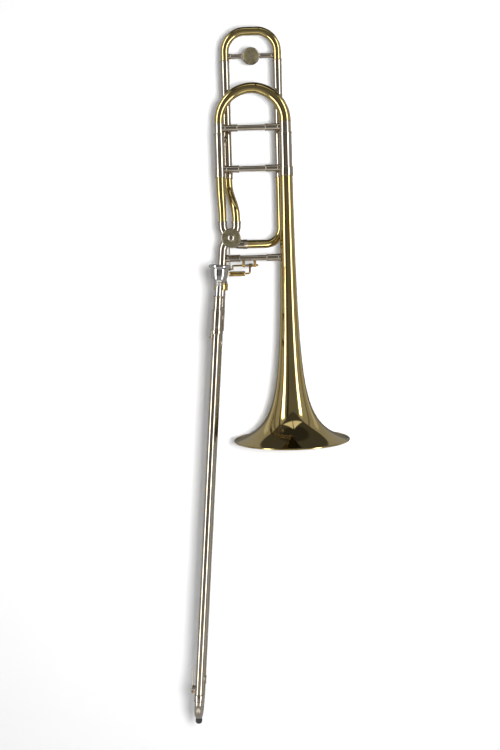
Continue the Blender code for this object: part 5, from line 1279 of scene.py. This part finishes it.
class TROMBONE_OT_outer_slide(bpy.types.Operator):
    """Make the outer tubes, their brace, the bow with its ferrules, the end socket and the rubber bumper"""

    bl_idname = "trombone.outer_slide"
    bl_label = "Outer slide"

    def execute(self, context):
        for side, place in SIDES.items():
            outline = ring(OUTER_TUBE, OUTER_BORE, OUTER_TOP, OUTER_BOTTOM)
            made = turned(f"slide_tube_{side}", outline, place, steps=48)
            settle(made, "outer_slide", "nickel_silver", f"outer_tube_{side}")
        height = -0.0220
        ends = (0.0, 0.0, height), (0.0, -SLIDE_SPACING, height)
        made = brace("slide_brace_tube", *ends, OUTER_TUBE, OUTER_TUBE, SLIDE)
        settle(made, "outer_slide", "nickel_silver", "outer_brace")
        half = SLIDE_SPACING / 2.0
        ferrule_top = OUTER_BOTTOM + 0.0070
        ferrule_low = ferrule_top - 0.0140
        bow_top = OUTER_BOTTOM - GAP
        centre = (0.0, -half, ferrule_low + 0.0020)
        path = [Vector((0.0, 0.0, bow_top))] + arc(centre, half, 0.0, -math.pi, (0.0, 1.0, 0.0), count=64)
        path.append(Vector((0.0, -SLIDE_SPACING, bow_top)))
        parts = [drawn("bow_tube", path, OUTER_TUBE, SLIDE, 0.0006, sides=40)]
        outer = OUTER_TUBE + GAP + 0.0006
        outline = [(outer - 0.0003, ferrule_top)]
        outline += band(outer, ferrule_top, ferrule_low, 0.0007, 0.0006, 0.0016)
        outline += [
            (OUTER_TUBE - GAP, ferrule_low), (OUTER_TUBE - GAP, ferrule_top - 0.0076),
            (OUTER_TUBE + GAP, ferrule_top - 0.0076), (OUTER_TUBE + GAP, ferrule_top),
        ]
        parts += [turned("bow_ferrule", outline, place, steps=56) for place in SIDES.values()]
        settle(united("bow_piece", *parts), "outer_slide", "nickel_silver", "slide_bow")
        low = centre[2] - half - OUTER_TUBE
        base = low - 0.0028
        outline = [
            (0.0, low + 0.0030), (0.0046, low + 0.0060), (0.0050, low + 0.0020), (0.0055, low - 0.0012),
        ]
        outline += bead(0.0053, base + 0.0008, 0.0004) + [(0.0051, base), (0.0, base)]
        spot = at(SLIDE, 0.0, -half, 0.0)
        made = turned("bumper_socket", outline, spot, steps=56)
        settle(made, "outer_slide", "nickel_silver", "bow_end_socket")
        top = base - GAP
        bottom = top - 0.0097
        waist = (0.0062, top - 0.0047)
        shoulder = [(0.0052, top), (0.0059, top - 0.0006), (0.0062, top - 0.0022), waist]
        foot = [waist, (0.0058, top - 0.0072), (0.0048, top - 0.0089), (0.0036, bottom)]
        outline = [(0.0, top)] + smooth(shoulder, 4)[:-1] + smooth(foot, 5) + [(0.0, bottom)]
        made = turned("bumper", outline, spot, steps=56)
        settle(made, "outer_slide", "black_rubber", "end_bumper")
        return {"FINISHED"}


class TROMBONE_OT_slide_lock(bpy.types.Operator):
    """Make the slide lock's ring and hook, and the pin that the hook catches"""

    bl_idname = "trombone.slide_lock"
    bl_label = "Slide lock"

    def execute(self, context):
        bore = BARREL + GAP
        outer = bore + 0.0010
        top, low = 0.0070 + GAP, GAP
        outline = [(outer - 0.0003, top)] + band(outer, top, low, 0.0008, 0.0006, 0.0018)
        outline += [(outer - 0.0003, low), (bore, low), (bore, top)]
        parts = [turned("lock_band", outline, UPPER, steps=72)]
        thick, width = 0.0016, 0.0042
        out = outer + thick / 2.0 - 0.0004
        ear, tip = math.radians(217.0), math.radians(206.0)
        hook_middle = LOCK_PIN - 0.0015 - GAP - 0.0011
        ear_low = hook_middle - 0.0011 - 0.0002
        ear_size = (thick, width, 0.0070 - ear_low)
        tip_size = (thick - 0.0002, 0.0052, 0.0022)
        hook = ("lock_ear", ear_size, ear, (0.0070 + ear_low) / 2.0), ("lock_tip", tip_size, tip, hook_middle)
        for name, size, way, height in hook:
            spot = at(UPPER, out * math.cos(way), out * math.sin(way), height)
            parts.append(block(name, size, spot @ Matrix.Rotation(way - math.pi, 4, "Z"), 0.0004))
        settle(united("lock_ring_piece", *parts), "slide_lock", "nickel_silver", "slide_lock_ring")
        length = out + thick - OUTER_TUBE
        outline = [
            (0.0, length), (0.0011, length), (0.0015, length - 0.0004), (0.0015, 0.0022), (0.0018, 0.0015),
            (0.0025, 0.0010), (0.0025, -0.0012), (0.0, -0.0012),
        ]
        spot = at(UPPER, -OUTER_TUBE, 0.0, LOCK_PIN) @ TURN_TO_LEFT
        settle(turned("lock_pin", outline, spot, steps=32), "outer_slide", "nickel_silver", "slide_lock_pin")
        return {"FINISHED"}


class TROMBONE_OT_water_key(bpy.types.Operator):
    """Make the water key with its saddle, nipple, cork and spring"""

    bl_idname = "trombone.water_key"
    bl_label = "Water key"

    def execute(self, context):
        slot, ear = 0.0040, 0.0012
        foot, end = OUTER_TUBE - 0.0018, KEY_OUT + 0.0018
        parts = []
        for side in (-1.0, 1.0):
            size = (end - foot, ear, 0.0044)
            spot = at(UPPER, -(end + foot) / 2.0, side * (slot + ear / 2.0), KEY_HEIGHT)
            parts.append(block("saddle_ear", size, spot, 0.0004))
        plate_top, plate_low = KEY_HEIGHT + 0.0022, KEY_HEIGHT - KEY_CORK - 0.0044
        size = (0.0030, 2.0 * slot + 0.0008, plate_top - plate_low)
        spot = at(UPPER, -OUTER_TUBE + 0.0003, 0.0, (plate_top + plate_low) / 2.0)
        parts.append(block("saddle_plate", size, spot, 0.0006))
        spot = at(UPPER, 0.0, 0.0, KEY_HEIGHT - KEY_CORK) @ TURN_TO_LEFT
        nipple_end = OUTER_TUBE + 0.0026
        outline = [
            (0.0022, nipple_end), (0.0024, nipple_end - 0.0003), (0.0024, OUTER_TUBE + 0.0016),
            (0.0030, OUTER_TUBE + 0.0010), (0.0030, OUTER_TUBE - 0.0010), (0.0014, OUTER_TUBE - 0.0010),
            (0.0014, nipple_end),
        ]
        parts.append(turned("nipple", outline, spot, steps=32))
        settle(united("key_saddle", *parts), "outer_slide", "nickel_silver", "water_key_saddle")

        rod_radius = 0.0011
        front = KEY_OUT - nipple_end - GAP
        back = front - 0.0018
        spot = at(KEY, 0.0, 0.0, -KEY_CORK) @ TURN_TO_LEFT
        outline = [(0.0, -back), (0.0027, -back), (0.0027, -front - 0.0003), (0.0024, -front), (0.0, -front)]
        settle(turned("key_cork", outline[::-1], spot, steps=32), "water_key", "cork", "water_key_cork")
        cup = -back + GAP
        outline = [
            (0.0, cup + 0.0016), (0.0014, cup + 0.0015), (0.0025, cup + 0.0010), (0.0031, cup + 0.0003),
            (0.0031, cup - 0.0008), (0.0028, cup - 0.0008), (0.0028, cup), (0.0, cup),
        ]
        cup_piece = turned("key_cup", outline, spot, steps=32)
        middle = back - GAP - rod_radius - 0.0001
        knots = [
            (middle, 0.0, -KEY_CORK), (middle - 0.0008, 0.0, -0.0045), (-0.0008, 0.0, -0.0020),
            (-0.0004, 0.0, 0.0020), (-0.0012, 0.0, 0.0160), (-0.0020, 0.0, 0.0400),
        ]
        path = smooth(knots, 8)
        radii = [rod_radius] * (len(path) - 17) + tapered(rod_radius, 0.0007, 17)
        lever = drawn("key_rod", path, radii, KEY, sides=20)
        pin = slot + ear + 0.0006
        outline = [
            (0.0, pin), (0.0008, pin), (rod_radius, pin - 0.0003), (rod_radius, 0.0003 - pin), (0.0008, -pin),
            (0.0, -pin),
        ]
        pin_piece = turned("key_pin", outline, KEY @ TURN_TO_BACK, steps=24)
        made = united("key_lever_piece", lever, cup_piece, pin_piece)
        settle(made, "water_key", "nickel_silver", "water_key_lever")

        wire = 0.0003
        coil_radius = rod_radius + wire + GAP
        path = [(x, y, z) for y, x, z in coil(coil_radius, 2, coil_radius, slot - wire - GAP)]
        made = drawn("key_coil", path, wire, KEY, sides=10)
        settle(made, "water_key", "spring_steel", "water_key_spring")
        return {"FINISHED"}


# CAD nodes that stay as they are

KEPT_NODES = ("front_bearing_plate", "valve_rotor")


class TROMBONE_OT_kept_nodes(bpy.types.Operator):
    """Give the CAD nodes that show as they are their finish and smooth shading"""

    bl_idname = "trombone.kept_nodes"
    bl_label = "Kept nodes"

    def execute(self, context):
        for name in KEPT_NODES:
            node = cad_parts[name]
            node.data.materials.clear()
            node.data.materials.append(finish("nickel_silver"))
            for face in node.data.polygons:
                face.use_smooth = True
            weld = node.modifiers.new("weld", "WELD")
            weld.merge_threshold = 0.000002
            split = node.modifiers.new("crisp_edges", "EDGE_SPLIT")
            split.split_angle = math.radians(35.0)
        return {"FINISHED"}


# The studio

FLOOR_DROP = 0.65  # the trombone hangs before the backdrop, with room below for the drawn slide
WHITE = (1.0, 1.0, 1.0, 1.0)


def stage_paper(name, brightness):
    """White paper that keeps the object's shadow and can't be seen from behind."""
    made, nodes = new_material(name)
    paper = (*bpy.context.scene.trombone_studio.background, 1.0)
    fibres = nodes.noise(nodes.place(), 900.0, 3.0)
    tone = nodes.mix(fibres * 0.03, paper, (0.70, 0.70, 0.70, 1.0))
    lit = nodes.add("ShaderNodeBsdfDiffuse", None, {"Color": tone})
    seen = nodes.add("ShaderNodeLightPath", output="Is Camera Ray")
    glow = nodes.add("ShaderNodeEmission", None, {"Color": WHITE, "Strength": seen * brightness})
    both = nodes.add("ShaderNodeAddShader", None, {0: lit, 1: glow})
    behind = nodes.add("ShaderNodeNewGeometry", output="Backfacing")
    clear = nodes.add("ShaderNodeBsdfTransparent")
    nodes.surface(nodes.add("ShaderNodeMixShader", None, {0: behind, 1: both, 2: clear}))
    return made


def paper_sheet(name, size, place, brightness):
    """A flat sheet of stage paper, which isn't part of the object."""
    leave_all()
    bpy.ops.mesh.primitive_plane_add(size=size)
    sheet = bpy.context.object
    sheet.name = name
    set_down(sheet, place)
    sheet.data.materials.append(stage_paper(f"{name}_paper", brightness))
    sheet.visible_glossy = False


def room():
    """A white room for the camera; polished metal sees bright windows, a dark middle and grey walls."""
    world = bpy.data.worlds.new("studio_room")
    bpy.context.scene.world = world
    world.use_nodes = True
    nodes = Nodes(world.node_tree)
    way = nodes.add("ShaderNodeTexCoord", output="Generated")
    across = nodes.add("ShaderNodeSeparateXYZ", None, {0: way})
    depth, height = across.part("Y"), across.part("Z")
    level = (across * across + depth * depth + 0.0001) ** 0.5
    front = (0.0 - depth) / level
    near = front.step(-0.01, 0.01)
    facing = front.size()
    middle = facing.step(0.78, 0.82) * near
    under = (0.0 - height).step(0.25, 0.40)
    groove = across.step(-0.46, -0.42) * (1.0 - across.step(-0.32, -0.28))
    window = facing.step(0.50, 0.53) * (1.0 - facing.step(0.70, 0.73))
    window = window * (1.0 - height.size().step(0.60, 0.68))
    beside, seam, edge = front.step(-0.04, 0.0), front.step(-0.20, -0.16), 1.0 - front.step(-0.85, -0.60)
    edge = edge * (1.0 - height.size().step(0.15, 0.30))
    sides = beside * 0.16 - seam * 0.14 - edge * 0.16 + 0.30
    roof = (height * height - across * across * 1.69 - depth * depth * 0.525).step(-0.03, 0.03)
    roof = roof * height.step(0.0, 0.1)
    roof_tone = 0.055 - height.step(0.88, 0.94) * 0.03
    walls = sides * (1.0 - middle) + middle * (0.12 - groove * 0.09 + under * 0.16)
    walls = walls * (1.0 - roof) + roof * roof_tone
    hatch = height.step(0.79, 0.81) * (1.0 - (across.size() + height * 3.0).step(2.89, 2.92)) * near
    hatch = hatch * across.size().step(0.015, 0.025)
    table = (0.0 - height).step(0.78, 0.84) * (1.0 - (0.0 - height).step(0.95, 0.97)) * near
    ray = nodes.add("ShaderNodeLightPath", output="Is Glossy Ray")
    again = ray.part("Glossy Depth").step(1.4, 1.6)
    seen_in_metal = (walls + window * (0.2 + near * 4.4) + hatch * 0.70 + table * 0.60) * (1.0 - again * 0.6)
    camera = ray.part("Is Camera Ray")
    plain = 1.0 - ray - camera
    soft = bpy.context.scene.trombone_studio.room_light
    strength = camera + ray * seen_in_metal + plain * soft
    shown = nodes.add("ShaderNodeBackground", None, {"Color": WHITE, "Strength": strength})
    nodes.add("ShaderNodeOutputWorld", None, {"Surface": shown})


def shadow_light():
    """A soft lamp right of the camera that throws the shadow to the left and isn't seen in polished metal."""
    distance = bpy.context.scene.trombone_studio.camera_distance
    bpy.ops.object.light_add(type="AREA", location=(0.12, -distance, 0.20))
    lamp = bpy.context.object
    lamp.name = "shadow_light"
    lamp.data.shape = "DISK"
    lamp.data.size = 0.26
    lamp.data.energy = bpy.context.scene.trombone_studio.shadow_light
    lamp.rotation_euler = Vector((0.0, 1.0, 0.0)).to_track_quat("-Z", "Y").to_euler()
    lamp.visible_glossy = False


def photo_camera():
    """The photograph's camera: a little to the left of the bell's front and looking slightly down."""
    distance = bpy.context.scene.trombone_studio.camera_distance
    bpy.ops.object.camera_add()
    camera = bpy.context.object
    camera.name = "photo_camera"
    across, down = math.radians(1.03), math.radians(6.1)
    right = Vector((math.cos(across), math.sin(across), 0.0))
    ahead = Vector((-math.sin(across) * math.cos(down), math.cos(across) * math.cos(down), -math.sin(down)))
    axes = Matrix((right, right.cross(ahead), -ahead)).transposed()
    roll = Matrix.Rotation(math.radians(-2.96), 3, "Y")
    camera.matrix_world = Matrix.Translation((-0.05166, -distance, 0.20200)) @ (roll @ axes).to_4x4()
    camera.data.sensor_width = 36.0
    camera.data.lens = 1029.0 / 750.0 * 36.0
    camera.data.clip_start = 0.05
    bpy.context.scene.camera = camera


class TROMBONE_OT_studio(bpy.types.Operator):
    """Set up the pale floor, the backdrop, the lights and the camera"""

    bl_idname = "trombone.studio"
    bl_label = "Studio"

    def execute(self, context):
        floor_height = CAD_BOX[0].z - FLOOR_DROP
        paper_sheet("studio_floor", 12.0, Matrix.Translation((0.0, 0.0, floor_height)), 0.30)
        back = context.scene.trombone_studio.backdrop_distance
        stand = Matrix.Translation((0.0, back, floor_height + 3.0)) @ TURN_TO_FRONT
        paper_sheet("studio_backdrop", 6.0, stand, 0.10)
        room()
        shadow_light()
        photo_camera()
        context.scene.view_settings.view_transform = "Standard"
        return {"FINISHED"}


class TROMBONE_PT_panel(bpy.types.Panel):
    """Lists the trombone's pieces in the sidebar"""

    bl_label = "Trombone"
    bl_idname = "TROMBONE_PT_panel"
    bl_space_type = "VIEW_3D"
    bl_region_type = "UI"
    bl_category = "Trombone"

    def draw(self, context):
        layout = self.layout
        for group in (context.scene.trombone_finishes, context.scene.trombone_studio):
            box = layout.box()
            for name in group.__annotations__:
                box.prop(group, name)
        for operator in OPERATORS:
            layout.operator(operator.bl_idname)


OPERATORS = (
    TROMBONE_OT_bell,
    TROMBONE_OT_main_sleeves,
    TROMBONE_OT_tuning_slide,
    TROMBONE_OT_f_slide,
    TROMBONE_OT_f_tubing,
    TROMBONE_OT_valve,
    TROMBONE_OT_stop_arm,
    TROMBONE_OT_bell_braces,
    TROMBONE_OT_trigger,
    TROMBONE_OT_receiver,
    TROMBONE_OT_inner_slide,
    TROMBONE_OT_mouthpiece,
    TROMBONE_OT_outer_slide,
    TROMBONE_OT_slide_lock,
    TROMBONE_OT_water_key,
    TROMBONE_OT_kept_nodes,
    TROMBONE_OT_studio,
)
GROUPS = {"trombone_finishes": TromboneFinishes, "trombone_studio": TromboneStudio}


def register():
    """Register the classes and put the property groups on the scene."""
    for made in (*GROUPS.values(), *OPERATORS, TROMBONE_PT_panel):
        bpy.utils.register_class(made)
    for name, group in GROUPS.items():
        setattr(bpy.types.Scene, name, bpy.props.PointerProperty(type=group))


def unregister():
    """Undo register."""
    for name in GROUPS:
        delattr(bpy.types.Scene, name)
    for made in (TROMBONE_PT_panel, *reversed(OPERATORS), *GROUPS.values()):
        bpy.utils.unregister_class(made)


def main():
    """Make every piece in order, then the studio."""
    register()
    for operator in OPERATORS:
        category, name = operator.bl_idname.split(".")
        getattr(getattr(bpy.ops, category), name)()


if __name__ == "__main__":
    main()
